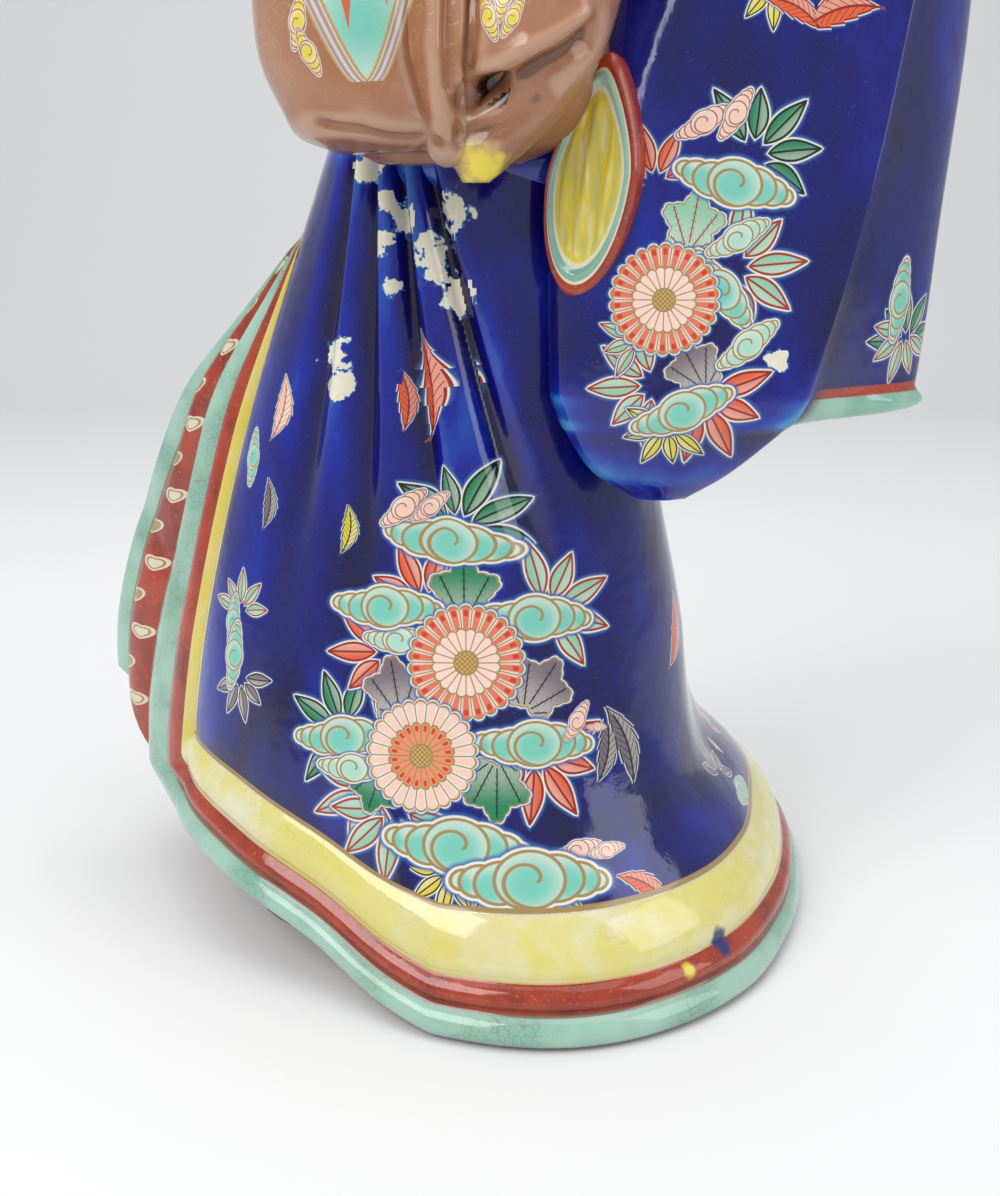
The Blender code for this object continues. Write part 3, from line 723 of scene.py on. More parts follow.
hand = {
    "palm": [0.5, 0.44, 0.36],
    "finger": [0.135, 0.1242, 0.0918],  # radii from the knuckle to the tip
    "spread": 0.2,
    "reaches": (0.84, 1.0, 0.96, 0.8),
    "thumb": [(-0.25, -0.3), (0.15, -0.5), (0.5, -0.47)],  # ahead of and beside the knuckles
}


def handForm(joints):  # a palm, four fingers held together and a thumb beside them
    wrist, knuckles, tip = (Vector(joint) for joint in joints)
    ahead = (tip - knuckles).normalized()
    aside = ahead.cross(Vector((0, 0, 1))).normalized()
    length = (tip - knuckles).length
    mesh = limb([wrist, knuckles, knuckles + ahead * 0.22], hand["palm"], 48)
    for i, reach in enumerate(hand["reaches"]):
        off = aside * hand["spread"] * (i - 1.5)
        start = knuckles - ahead * 0.1 + off * 0.9
        bend = knuckles + ahead * length * 0.55 * reach + off * 1.05 + Vector((0, 0, 0.04))
        end = knuckles + ahead * length * reach + off * 0.9
        join(mesh, limb([start, bend, end], hand["finger"], 24, 8))
    thumb = [knuckles + ahead * along + aside * beside for along, beside in hand["thumb"]]
    join(mesh, limb(thumb, hand["finger"], 24, 8))
    return mesh


# Painting: short ways to build up a pattern.
def put(tree, kind, *values, **settings):  # one step of a pattern, with its first inputs filled
    node = tree.nodes.new(kind)
    for name, value in settings.items():
        setattr(node, name, value)
    for socket, value in zip([s for s in node.inputs if s.enabled], values):
        if isinstance(value, bpy.types.NodeSocket):
            tree.links.new(value, socket)
        elif value is not None:
            socket.default_value = value
    return node


def calc(tree, operation, *values):
    return put(tree, "ShaderNodeMath", *values, operation=operation).outputs[0]


def span(tree, value, low, high, start=0.0, end=1.0):  # a soft step from low to high
    node = put(tree, "ShaderNodeMapRange", value, low, high, start, end, interpolation_type="SMOOTHSTEP")
    return node.outputs[0]


def below(tree, value, low, high):  # the other way round: 1 up to low, 0 from high on
    return span(tree, value, low, high, 1.0, 0.0)


def line(tree, value, width):  # 1 where the value is within a width of 0
    return below(tree, calc(tree, "ABSOLUTE", value), width * 0.7, width * 1.3)


def mix(tree, factor, first, second):
    node = put(tree, "ShaderNodeMix", data_type="RGBA")
    for socket, value in zip((node.inputs[0], node.inputs[6], node.inputs[7]), (factor, first, second)):
        if isinstance(value, bpy.types.NodeSocket):
            tree.links.new(value, socket)
        else:
            socket.default_value = value
    return node.outputs[2]


def vector(tree, operation, *values, output=0):
    return put(tree, "ShaderNodeVectorMath", *values, operation=operation).outputs[output]


def ramp(tree, value, stops, interpolation="LINEAR"):
    node = put(tree, "ShaderNodeValToRGB", value)
    node.color_ramp.interpolation = interpolation
    elements = node.color_ramp.elements
    for element, (position, colour) in zip(elements, (stops[0], stops[-1])):
        element.position = position
        element.color = (*colour, 1)
    for position, colour in stops[1:-1]:
        elements.new(position).color = (*colour, 1)
    return node.outputs[0]


def noise(tree, where, scale, detail=2.0, roughness=0.5):
    node = put(tree, "ShaderNodeTexNoise")
    for name, value in (("Vector", where), ("Scale", scale), ("Detail", detail), ("Roughness", roughness)):
        if isinstance(value, bpy.types.NodeSocket):
            tree.links.new(value, node.inputs[name])
        else:
            node.inputs[name].default_value = value
    return node.outputs["Fac"]


def group(name, inputs, outputs):  # a shared effect, with what goes in and what comes out
    tree = bpy.data.node_groups.new(name, "ShaderNodeTree")
    for label, kind in inputs:
        tree.interface.new_socket(label, in_out="INPUT", socket_type="NodeSocket" + kind)
    for label, kind in outputs:
        tree.interface.new_socket(label, in_out="OUTPUT", socket_type="NodeSocket" + kind)
    return tree, tree.nodes.new("NodeGroupInput").outputs, tree.nodes.new("NodeGroupOutput")


def use(tree, shared, *values):  # places a shared effect
    node = tree.nodes.new("ShaderNodeGroup")
    node.node_tree = shared
    for socket, value in zip(node.inputs, values):
        if isinstance(value, bpy.types.NodeSocket):
            tree.links.new(value, socket)
        elif value is not None:
            socket.default_value = value
    return node.outputs


def close(tree, output, *sockets):  # hands on the results in order
    for socket, value in zip(output.inputs, sockets):
        tree.links.new(value, socket)


# Enamel colours, by number: what a motif is filled with and what it is outlined with.
enamels = [
    ("orange", (0.66, 0.105, 0.035), (0.25, 0.015, 0.01)),
    ("pink", (0.80, 0.52, 0.42), (0.36, 0.12, 0.08)),
    ("turquoise", (0.17, 0.52, 0.42), (0.33, 0.22, 0.08)),
    ("green", (0.012, 0.20, 0.085), (0.006, 0.015, 0.012)),
    ("paleGreen", (0.24, 0.50, 0.34), (0.32, 0.03, 0.02)),
    ("yellow", (0.66, 0.54, 0.03), (0.02, 0.02, 0.015)),
    ("grey", (0.17, 0.13, 0.16), (0.012, 0.01, 0.012)),
    ("white", (0.80, 0.76, 0.66), (0.33, 0.22, 0.08)),
    ("navy", (0.02, 0.03, 0.14), (0.30, 0.2, 0.08)),
    ("mint", (0.38, 0.62, 0.50), (0.33, 0.22, 0.08)),
    ("lemon", (0.68, 0.56, 0.05), (0.34, 0.10, 0.14)),
    # the last is no enamel but painted shade, for the hollow under the bow's right loop
    ("holeShade", (0.035, 0.012, 0.006), (0.02, 0.01, 0.005)),
]
number = {name: i for i, (name, fill, edge) in enumerate(enamels, 1)}
reserve = (0.74, 0.72, 0.62, 1)  # the white porcelain left round each motif
gold = (0.33, 0.22, 0.08, 1)
bleed = (0.025, 0.10, 0.34, 1)  # the thin blue that runs up to it


def tintGroup():
    tree, given, output = group("enamelTint", [("Number", "Float")], [("Fill", "Color"), ("Edge", "Color")])
    count = len(enamels)
    at = calc(tree, "MULTIPLY_ADD", given[0], 1 / count, -0.5 / count)
    fills = [(i / count, fill) for i, (name, fill, edge) in enumerate(enamels)]
    edges = [(i / count, edge) for i, (name, fill, edge) in enumerate(enamels)]
    close(tree, output, ramp(tree, at, fills, "CONSTANT"), ramp(tree, at, edges, "CONSTANT"))
    return tree


enamelTint = tintGroup()


def startMotif(name):  # a shared effect for one motif, with its own coordinates and its enamel
    inputs = [("Place", "Vector"), ("Where", "Vector")]
    outputs = [("Color", "Color"), ("Cover", "Float")]
    tree, given, output = group(name, inputs, outputs)
    spot, where = given[:2]
    x, y, tint = put(tree, "ShaderNodeSeparateXYZ", spot).outputs
    flat = put(tree, "ShaderNodeCombineXYZ", x, y).outputs[0]
    radius = vector(tree, "LENGTH", flat, output=1)
    angle = calc(tree, "ARCTAN2", y, x)
    fill, edge = use(tree, enamelTint, tint)[:2]
    return SimpleNamespace(
        tree=tree, output=output, spot=spot, where=where, x=x, y=y, tint=tint,
        radius=radius, angle=angle, fill=fill, edge=edge,
    )


def haloed(tree, painted, outside, width=0.03):  # the porcelain round a motif and the thin blue beyond
    painted = mix(tree, span(tree, outside, 0.012, 0.024), painted, reserve)
    painted = mix(tree, span(tree, outside, width, width * 1.8), painted, bleed)
    return painted, below(tree, outside, width * 1.3, width * 3.6)


chrysanthemum = {
    "waves": (13, 10),  # half the number of outer and of inner petals
    "reach": (0.86, 0.5),  # how far the petals reach before their round tips
    "round": (0.1, 0.08),
    "disc": 0.2,
    "weave": 75,
    "petal": (0.82, 0.60, 0.50, 1),
    "petalWarm": (0.72, 0.25, 0.12, 1),
    "spot": (0.55, 0.04, 0.01, 1),
    "spotPale": (0.8, 0.55, 0.5, 1),
    "discDark": (0.30, 0.17, 0.05, 1),
    "discPale": (0.55, 0.36, 0.12, 1),
}


def chrysanthemumGroup():
    motif = startMotif("chrysanthemum")
    tree = motif.tree
    waves, edges = [], []
    for count, reach, tips in zip(chrysanthemum["waves"], chrysanthemum["reach"], chrysanthemum["round"]):
        wave = calc(tree, "ABSOLUTE", calc(tree, "SINE", calc(tree, "MULTIPLY", motif.angle, count)))
        tip = calc(tree, "MULTIPLY_ADD", calc(tree, "POWER", wave, 0.5), tips, reach)
        waves.append(wave)
        edges.append(calc(tree, "SUBTRACT", motif.radius, tip))
    wide, near = waves
    outside, beyond = edges
    isOuter = span(tree, beyond, -0.005, 0.005)
    isPink = calc(tree, "COMPARE", motif.tint, float(number["pink"]), 0.1)
    middle = calc(tree, "MULTIPLY", span(tree, wide, 0.25, 0.8), 0.9)
    outer = mix(tree, middle, reserve, motif.fill)
    inner = mix(tree, isPink, chrysanthemum["petal"], chrysanthemum["petalWarm"])
    tipSpot = line(tree, calc(tree, "ADD", outside, 0.12), 0.05)
    tipSpot = calc(tree, "MULTIPLY", span(tree, wide, 0.75, 0.9), tipSpot)
    nearSpot = line(tree, calc(tree, "ADD", beyond, 0.1), 0.05)
    nearSpot = calc(tree, "MULTIPLY", span(tree, near, 0.75, 0.9), nearSpot)
    outer = mix(tree, tipSpot, outer, mix(tree, isPink, chrysanthemum["spot"], chrysanthemum["spotPale"]))
    inner = mix(tree, calc(tree, "MULTIPLY", nearSpot, isPink), inner, chrysanthemum["spot"])
    petals = mix(tree, isOuter, inner, outer)
    rims = calc(tree, "MAXIMUM", line(tree, outside, 0.022), line(tree, beyond, 0.018))
    outerLines = line(tree, calc(tree, "MULTIPLY", wide, motif.radius), 0.15)
    outerLines = calc(tree, "MULTIPLY", outerLines, isOuter)
    innerLines = line(tree, calc(tree, "MULTIPLY", near, motif.radius), 0.1)
    innerLines = calc(tree, "MULTIPLY", innerLines, below(tree, beyond, -0.005, 0.005))
    lines = calc(tree, "MAXIMUM", rims, calc(tree, "MAXIMUM", outerLines, innerLines))
    painted = mix(tree, lines, petals, gold)
    threads = [calc(tree, "MULTIPLY", way, chrysanthemum["weave"]) for way in (motif.x, motif.y)]
    weave = calc(tree, "MULTIPLY", *(calc(tree, "SINE", thread) for thread in threads))
    weave = span(tree, weave, -0.2, 0.2)
    disc = mix(tree, weave, chrysanthemum["discDark"], chrysanthemum["discPale"])
    size = chrysanthemum["disc"]
    painted = mix(tree, below(tree, motif.radius, size - 0.01, size + 0.01), painted, disc)
    painted = mix(tree, line(tree, calc(tree, "SUBTRACT", motif.radius, size), 0.015), painted, gold)
    close(tree, motif.output, *haloed(tree, painted, outside))
    return tree


cloud = {
    "rounds": [  # middle and radius, from the ends to the curled one
        (-0.86, 0.05, 0.13),
        (0.86, -0.03, 0.13),
        (-0.66, 0.02, 0.2),
        (0.64, -0.01, 0.22),
        (-0.38, -0.02, 0.27),
        (0.34, 0.01, 0.3),
        (0.0, 0.0, 0.37),
    ],
    "squeeze": (0.8, 1.0, 0.0),
    "outline": 0.024,
    "curl": (0.33, 0.04),  # how far the curl opens in a turn, and where it starts
}


def cloudGroup():  # a curled middle with smaller rounds behind it on both sides
    motif = startMotif("curledCloud")
    tree = motif.tree
    painted, nearest = reserve, None
    pale = mix(tree, 0.6, motif.fill, reserve)
    for x, y, size in cloud["rounds"]:
        off = vector(tree, "SUBTRACT", motif.spot, (x, y, 0.0))
        off = vector(tree, "MULTIPLY", off, cloud["squeeze"])
        distance = vector(tree, "LENGTH", off, output=1)
        side = vector(tree, "LENGTH", vector(tree, "ADD", off, (-0.3 * x, 0.05, 0.0)), output=1)
        lobe = mix(tree, span(tree, side, size * 0.35, size * 1.15), motif.fill, pale)
        outside = calc(tree, "SUBTRACT", distance, size)
        lobe = mix(tree, line(tree, outside, cloud["outline"]), lobe, motif.edge)
        painted = mix(tree, below(tree, outside, 0.012, 0.02), painted, lobe)
        nearest = calc(tree, "MINIMUM", nearest, outside) if nearest else outside
    turns = calc(tree, "FRACT", calc(tree, "DIVIDE", calc(tree, "ADD", motif.angle, 1.2), math.tau))
    reach = vector(tree, "LENGTH", vector(tree, "MULTIPLY", motif.spot, cloud["squeeze"]), output=1)
    curl = calc(tree, "SUBTRACT", reach, calc(tree, "MULTIPLY_ADD", turns, *cloud["curl"]))
    curl = calc(tree, "MULTIPLY", line(tree, curl, 0.022), span(tree, turns, 0.1, 0.14))
    close(tree, motif.output, *haloed(tree, mix(tree, curl, painted, motif.edge), nearest, 0.035))
    return tree


spray = {"between": 0.64, "foot": 0.22, "length": 0.9, "uneven": 0.08, "droop": 0.035, "width": 0.125}


def sprayGroup():  # five narrow leaves spread like a fan
    motif = startMotif("leafSpray")
    tree = motif.tree
    step, foot = spray["between"], spray["foot"]
    up = calc(tree, "ARCTAN2", motif.x, motif.y)
    leaf = calc(tree, "ROUND", calc(tree, "DIVIDE", up, step))
    leaf = calc(tree, "MAXIMUM", calc(tree, "MINIMUM", leaf, 2.0), -2.0)
    aside = calc(tree, "SUBTRACT", up, calc(tree, "MULTIPLY", leaf, step))
    along = calc(tree, "MULTIPLY", motif.radius, calc(tree, "COSINE", aside))
    across = calc(tree, "MULTIPLY", motif.radius, calc(tree, "SINE", aside))
    uneven = calc(tree, "SINE", calc(tree, "MULTIPLY_ADD", leaf, 2.3, 0.8))
    length = calc(tree, "MULTIPLY_ADD", uneven, spray["uneven"], spray["length"])
    part = calc(tree, "DIVIDE", calc(tree, "SUBTRACT", along, foot), calc(tree, "SUBTRACT", length, foot))
    part = calc(tree, "MAXIMUM", calc(tree, "MINIMUM", part, 1.0), 0.0)
    droop = calc(tree, "MULTIPLY", leaf, spray["droop"])
    droop = calc(tree, "MULTIPLY", calc(tree, "MULTIPLY", part, part), droop)
    across = calc(tree, "SUBTRACT", across, droop)
    bulge = calc(tree, "SINE", calc(tree, "MULTIPLY", calc(tree, "POWER", part, 0.85), math.pi))
    past, short = calc(tree, "SUBTRACT", along, length), calc(tree, "SUBTRACT", foot, along)
    beyond = calc(tree, "MAXIMUM", calc(tree, "MAXIMUM", past, short), 0.0)
    half = calc(tree, "MULTIPLY", bulge, spray["width"])
    side = calc(tree, "SUBTRACT", calc(tree, "ABSOLUTE", across), half)
    outside = calc(tree, "ADD", side, beyond)
    shaded = mix(tree, span(tree, across, -0.09, 0.12, 0.0, 0.4), motif.fill, reserve)
    painted = mix(tree, line(tree, across, 0.014), shaded, motif.edge)
    painted = mix(tree, line(tree, outside, 0.016), painted, motif.edge)
    close(tree, motif.output, *haloed(tree, painted, outside, 0.028))
    return tree


lobedLeaf = {"lobes": 5, "depth": 0.15, "notches": 10, "notch": 0.05, "reach": 0.78, "veins": 6.5}


def lobedLeafGroup():
    motif = startMotif("lobedLeaf")
    tree = motif.tree
    values = lobedLeaf
    turn = calc(tree, "ADD", motif.angle, -math.pi / 2)
    lobes = calc(tree, "COSINE", calc(tree, "MULTIPLY", turn, values["lobes"]))
    notches = calc(tree, "SINE", calc(tree, "MULTIPLY", motif.angle, values["notches"]))
    notches = calc(tree, "ABSOLUTE", notches)
    reach = calc(tree, "MULTIPLY_ADD", notches, values["notch"], values["reach"])
    reach = calc(tree, "MULTIPLY_ADD", lobes, values["depth"], reach)
    outside = calc(tree, "SUBTRACT", motif.radius, reach)
    foot = vector(tree, "ADD", motif.spot, (0.0, 0.85, 0.0))
    x, y = put(tree, "ShaderNodeSeparateXYZ", foot).outputs[:2]
    fan = calc(tree, "ARCTAN2", x, y)
    far = vector(tree, "LENGTH", put(tree, "ShaderNodeCombineXYZ", x, y).outputs[0], output=1)
    rays = calc(tree, "MULTIPLY", calc(tree, "SINE", calc(tree, "MULTIPLY", fan, values["veins"])), far)
    twigs = calc(tree, "MULTIPLY", calc(tree, "ABSOLUTE", fan), 14)
    twigs = line(tree, calc(tree, "SINE", calc(tree, "MULTIPLY_ADD", far, 16, twigs)), 0.16)
    twigs = calc(tree, "MULTIPLY", twigs, line(tree, rays, 0.5))
    veins = calc(tree, "MAXIMUM", line(tree, rays, 0.13), twigs)
    shade = mix(tree, span(tree, motif.y, -0.7, 0.6, 0.45, 0.0), motif.fill, reserve)
    veins = calc(tree, "MULTIPLY", veins, below(tree, outside, -0.12, -0.08))
    painted = mix(tree, veins, shade, motif.edge)
    painted = mix(tree, line(tree, outside, 0.035), painted, gold)
    close(tree, motif.output, *haloed(tree, painted, outside, 0.04))
    return tree


fallingLeaf = {"bend": 0.28, "width": 0.3, "teeth": -3.2, "bite": 0.22, "vein": 20, "slant": -17}


def fallingLeafGroup():
    motif = startMotif("fallingLeaf")
    tree = motif.tree
    bend = calc(tree, "MULTIPLY", calc(tree, "MULTIPLY", motif.y, motif.y), fallingLeaf["bend"])
    across = calc(tree, "ADD", motif.x, bend)
    part = calc(tree, "MULTIPLY_ADD", motif.y, 0.56, 0.44)
    part = calc(tree, "MAXIMUM", calc(tree, "MINIMUM", part, 1.0), 0.0)
    teeth = calc(tree, "FRACT", calc(tree, "MULTIPLY", motif.y, fallingLeaf["teeth"]))
    width = calc(tree, "SINE", calc(tree, "MULTIPLY", part, math.pi))
    width = calc(tree, "MULTIPLY", width, fallingLeaf["width"])
    width = calc(tree, "MULTIPLY", width, calc(tree, "MULTIPLY_ADD", teeth, fallingLeaf["bite"], 0.86))
    side = calc(tree, "ABSOLUTE", across)
    outside = calc(tree, "SUBTRACT", side, width)
    stem = calc(tree, "MULTIPLY", below(tree, side, 0.02, 0.035), span(tree, motif.y, -0.95, -0.9))
    stem = calc(tree, "MULTIPLY", stem, calc(tree, "LESS_THAN", motif.y, 0.75))
    veins = calc(tree, "MULTIPLY", motif.y, fallingLeaf["slant"])
    veins = calc(tree, "SINE", calc(tree, "MULTIPLY_ADD", side, fallingLeaf["vein"], veins))
    veins = line(tree, veins, 0.22)
    veins = calc(tree, "MULTIPLY", veins, below(tree, outside, -0.06, -0.04))
    halves = mix(tree, span(tree, across, -0.01, 0.01), motif.fill, mix(tree, 0.3, motif.fill, reserve))
    painted = mix(tree, calc(tree, "MAXIMUM", veins, line(tree, outside, 0.025)), halves, motif.edge)
    painted, blade = haloed(tree, painted, outside, 0.03)
    painted = mix(tree, stem, painted, motif.edge)
    within = calc(tree, "LESS_THAN", calc(tree, "ABSOLUTE", calc(tree, "ADD", motif.y, -0.1)), 0.92)
    close(tree, motif.output, painted, calc(tree, "MAXIMUM", stem, calc(tree, "MULTIPLY", blade, within)))
    return tree


barePatch = {"clay": (0.62, 0.58, 0.42, 1), "clayPale": (0.78, 0.75, 0.62, 1), "rim": (0.02, 0.16, 0.42, 1)}


def barePatchGroup():  # where the blue left the clay bare
    motif = startMotif("barePatch")
    tree = motif.tree
    ragged = calc(tree, "MULTIPLY_ADD", noise(tree, motif.where, 300.0, 3.0, 0.6), 2.6, -1.2)
    outside = calc(tree, "SUBTRACT", calc(tree, "ADD", motif.radius, ragged), 0.85)
    clay = mix(tree, noise(tree, motif.where, 900.0), barePatch["clay"], barePatch["clayPale"])
    painted = mix(tree, span(tree, outside, 0.0, 0.03), clay, barePatch["rim"])
    close(tree, motif.output, painted, below(tree, outside, 0.02, 0.2))
    return tree


ribbons = {
    "foot": 0.85,  # how far below the middle the ribbons meet
    "spread": 0.52,
    "width": 0.26,
    "stripes": 58,
    "dark": (0.34, 0.26, 0.27, 1),
    "pale": (0.62, 0.52, 0.42, 1),
    "outline": (0.45, 0.28, 0.10, 1),
    "points": [(-0.22, -0.12), (0.42, 0.2)],
    "pointRed": (0.55, 0.12, 0.05, 1),
}


def ribbonGroup():  # a pointed panel between two striped ribbons that meet at its foot
    motif = startMotif("ribbonPanel")
    tree = motif.tree
    height = calc(tree, "MAXIMUM", calc(tree, "ADD", motif.y, ribbons["foot"]), 0.0)
    reach = calc(tree, "MULTIPLY", calc(tree, "POWER", height, 0.75), ribbons["spread"])
    beside = calc(tree, "ABSOLUTE", motif.x)
    outside = calc(tree, "SUBTRACT", beside, reach)
    panel = mix(tree, span(tree, motif.radius, 0.1, 0.9), motif.fill, mix(tree, 0.45, motif.fill, reserve))
    stripes = calc(tree, "SINE", calc(tree, "MULTIPLY", outside, ribbons["stripes"]))
    ribbon = mix(tree, span(tree, stripes, -0.3, 0.3), ribbons["dark"], ribbons["pale"])
    painted = mix(tree, span(tree, outside, -0.02, 0.02), panel, ribbon)
    for rim in (0.0, ribbons["width"]):
        outline = line(tree, calc(tree, "SUBTRACT", outside, rim), 0.025)
        painted = mix(tree, outline, painted, ribbons["outline"])
    for x, y in ribbons["points"]:
        point = calc(tree, "SUBTRACT", motif.y, y)
        across = calc(tree, "ABSOLUTE", calc(tree, "SUBTRACT", motif.x, x))
        drop = calc(tree, "SUBTRACT", across, calc(tree, "MULTIPLY", point, 0.16))
        painted = mix(tree, below(tree, drop, -0.01, 0.01), painted, ribbons["pointRed"])
    ends = calc(tree, "MULTIPLY", span(tree, motif.y, -0.95, -0.85), below(tree, motif.y, 0.95, 1.0))
    close(tree, motif.output, painted, calc(tree, "MULTIPLY", below(tree, outside, 0.27, 0.3), ends))
    return tree


def runAndShadeSpotGroup():  # a soft spot of one colour over another: a run of enamel, and on the bow also painted shade in a hollow
    motif = startMotif("splash")
    tree = motif.tree
    ragged = calc(tree, "MULTIPLY_ADD", noise(tree, motif.where, 350.0, 2.0), 0.8, -0.4)
    cover = below(tree, calc(tree, "ADD", motif.radius, ragged), 0.35, 0.85)
    close(tree, motif.output, motif.fill, cover)
    return tree


motifKinds = {  # in the order in which they lie over each other, with how many may overlap
    "barePatch": (barePatchGroup(), 1),
    "leafSpray": (sprayGroup(), 3),
    "fallingLeaf": (fallingLeafGroup(), 1),
    "lobedLeaf": (lobedLeafGroup(), 1),
    "cloud": (cloudGroup(), 3),
    "chrysanthemum": (chrysanthemumGroup(), 2),
    "ribbonPanel": (ribbonGroup(), 1),
    "splash": (runAndShadeSpotGroup(), 1),
}


# Placing motifs on a form. Ridges carry thin glaze and grooves thick: 0 is pooled and 1 is thin. On the bow
# the same measure places painted shade in the grooves and a painted highlight on the ridges.
def glazeThickness(mesh, contrast):
    layer = mesh.verts.layers.float.new("thin")
    mesh.normal_update()
    mesh.verts.ensure_lookup_table()
    values = []
    for vert in mesh.verts:
        around = [e.other_vert(vert).co for e in vert.link_edges]
        size = sum((co - vert.co).length_squared for co in around) / len(around)
        bend = (vert.co - sum(around, Vector()) / len(around)).dot(vert.normal)
        values.append(max(-3, min(3, 4 * bend / max(size, 1e-6))))
    neighbours = [[e.other_vert(vert).index for e in vert.link_edges] for vert in mesh.verts]
    for turn in range(10):  # evens the values out over the neighbours
        sums = [values[i] + sum(values[j] for j in near) for i, near in enumerate(neighbours)]
        values = [total / (1 + len(near)) for total, near in zip(sums, neighbours)]
    for vert, value in zip(mesh.verts, values):
        vert[layer] = max(0, min(1, 0.4 + contrast * value))


def locate(tree, spot):  # a motif's place, its own axes and the size of one of its units
    if len(spot) == 2:
        start, direction = pixelRay(*spot)
        point, normal, index, distance = tree.ray_cast(start, direction)
        if point is None:
            return None
        unit = (point - start).length / direction.length / view["focal"]
        right = Vector((1, 0, 0))
    else:
        point, normal, index, distance = tree.find_nearest(Vector(spot))
        unit = 1 / 42  # a photo pixel's share of a centimetre, near enough
        right = Vector((0, 0, 1)).cross(normal)
    right = (right - normal * right.dot(normal)).normalized()
    return point, normal, right, normal.cross(right), unit


def placeMotifs(mesh, motifs):
    tree = BVHTree.FromBMesh(mesh)
    mesh.faces.ensure_lookup_table()
    centres = [face.calc_center_median() for face in mesh.faces]
    near = KDTree(len(centres))
    for i, centre in enumerate(centres):
        near.insert(centre, i)
    near.balance()
    for kind, (shared, most) in motifKinds.items():
        for i in range(most):
            mesh.loops.layers.float_vector.new(kind + str(i))
    for kind, (shared, most) in motifKinds.items():
        layers = [mesh.loops.layers.float_vector[kind + str(i)] for i in range(most)]
        taken = [[] for layer in layers]
        closest = [{} for layer in layers]
        for spot, radius, turn, tint in motifs.get(kind, []):
            found = locate(tree, spot)
            if found is None:
                continue
            point, normal, right, up, unit = found
            size = radius * unit
            turned = Matrix.Rotation(math.radians(turn), 3, normal)
            right = turned @ right
            up = turned @ up
            clear = [
                all((point - other).length > 1.1 * (size + width) for other, width in row) for row in taken
            ]
            row = clear.index(True) if True in clear else most - 1
            taken[row].append((point, size))
            for centre, index, away in near.find_range(point, size * 1.4):
                face = mesh.faces[index]
                if face.normal.dot(normal) < 0.1 or closest[row].get(index, 9) < away / size:
                    continue
                closest[row][index] = away / size
                for loop in face.loops:
                    offset = (loop.vert.co - point) / size
                    loop[layers[row]] = (offset.dot(right), offset.dot(up), number[tint])


# The glazes.
blueGlaze = {
    "stops": [  # from pooled to thin
        (0.0, (0.006, 0.002, 0.018)),
        (0.3, (0.003, 0.001, 0.045)),
        (0.5, (0.001, 0.002, 0.14)),
        (0.66, (0.001, 0.012, 0.27)),
        (0.82, (0.004, 0.08, 0.40)),
        (1.0, (0.05, 0.24, 0.46)),
    ],
    "speck": (0.03, 0.05, 0.2, 1),
    "speckAmount": 0.35,
    "run": (1.0, 1.0, 0.45),  # the streaks run down
    "bump": (0.35, 0.0012),
}


def blueGroup():  # deep blue glaze: navy where it pools, turquoise where it runs thin
    tree, given, output = group(
        "blueGlazeLook",
        [("Where", "Vector"), ("Thin", "Float")],
        [("Color", "Color"), ("Height", "Float"), ("Gloss", "Float")],
    )
    where, thin = given[:2]
    stretched = vector(tree, "MULTIPLY", where, blueGlaze["run"])
    broad = noise(tree, stretched, 55.0, 2.0)
    fine = noise(tree, stretched, 240.0, 3.0, 0.6)
    amount = calc(tree, "MULTIPLY_ADD", broad, 0.75, calc(tree, "MULTIPLY_ADD", fine, 0.2, -0.475))
    amount = calc(tree, "ADD", amount, calc(tree, "MULTIPLY_ADD", thin, 0.9, 0.1))
    colour = ramp(tree, amount, blueGlaze["stops"])
    speck = span(tree, noise(tree, where, 1500.0, 1.0), 0.66, 0.74)
    speck = calc(tree, "MULTIPLY", speck, blueGlaze["speckAmount"])
    colour = mix(tree, speck, colour, blueGlaze["speck"])
    ripple = calc(tree, "MULTIPLY", noise(tree, where, 420.0), 0.12)
    height = calc(tree, "ADD", noise(tree, where, 70.0, 2.0), ripple)
    gloss = span(tree, noise(tree, where, 90.0, 3.0), 0.35, 0.75, 0.05, 0.16)
    close(tree, output, colour, height, gloss)
    return tree


crackleNet = {"scale": 520, "width": 0.03}


def crackleGroup():  # a net of fine brown lines in the pale glazes, here and there
    tree, given, output = group("crackle", [("Where", "Vector"), ("Amount", "Float")], [("Lines", "Float")])
    cells = put(tree, "ShaderNodeTexVoronoi", feature="DISTANCE_TO_EDGE")
    tree.links.new(given[0], cells.inputs["Vector"])
    cells.inputs["Scale"].default_value = crackleNet["scale"]
    lines = line(tree, cells.outputs[0], crackleNet["width"])
    patches = span(tree, noise(tree, given[0], 60.0, 2.0), 0.4, 0.62)
    close(tree, output, calc(tree, "MULTIPLY", calc(tree, "MULTIPLY", lines, patches), given[1]))
    return tree


blueLook = blueGroup()
crackle = crackleGroup()


glaze = {"coat": 0.25, "coatRoughness": 0.03, "roughness": 0.14}


def glazeMaterial(name):  # a glossy glaze and the place on the object that patterns follow
    material = bpy.data.materials.new(name)
    material.use_nodes = True
    tree = material.node_tree
    shader = tree.nodes["Principled BSDF"]
    shader.inputs["Coat Weight"].default_value = glaze["coat"]
    shader.inputs["Coat Roughness"].default_value = glaze["coatRoughness"]
    shader.inputs["Roughness"].default_value = glaze["roughness"]
    where = put(tree, "ShaderNodeTexCoord").outputs["Object"]
    return material, tree, shader, where


copperGlaze = {
    "tan": (0.37, 0.16, 0.07, 1),
    "tanPale": (0.44, 0.24, 0.16, 1),
    "pink": (0.52, 0.34, 0.25, 1),
    "gold": (0.56, 0.40, 0.19, 1),
    "goldAmount": 0.3,
    "scrolls": 230,  # the cells that hold a scroll each
    "winding": 3.2,
}


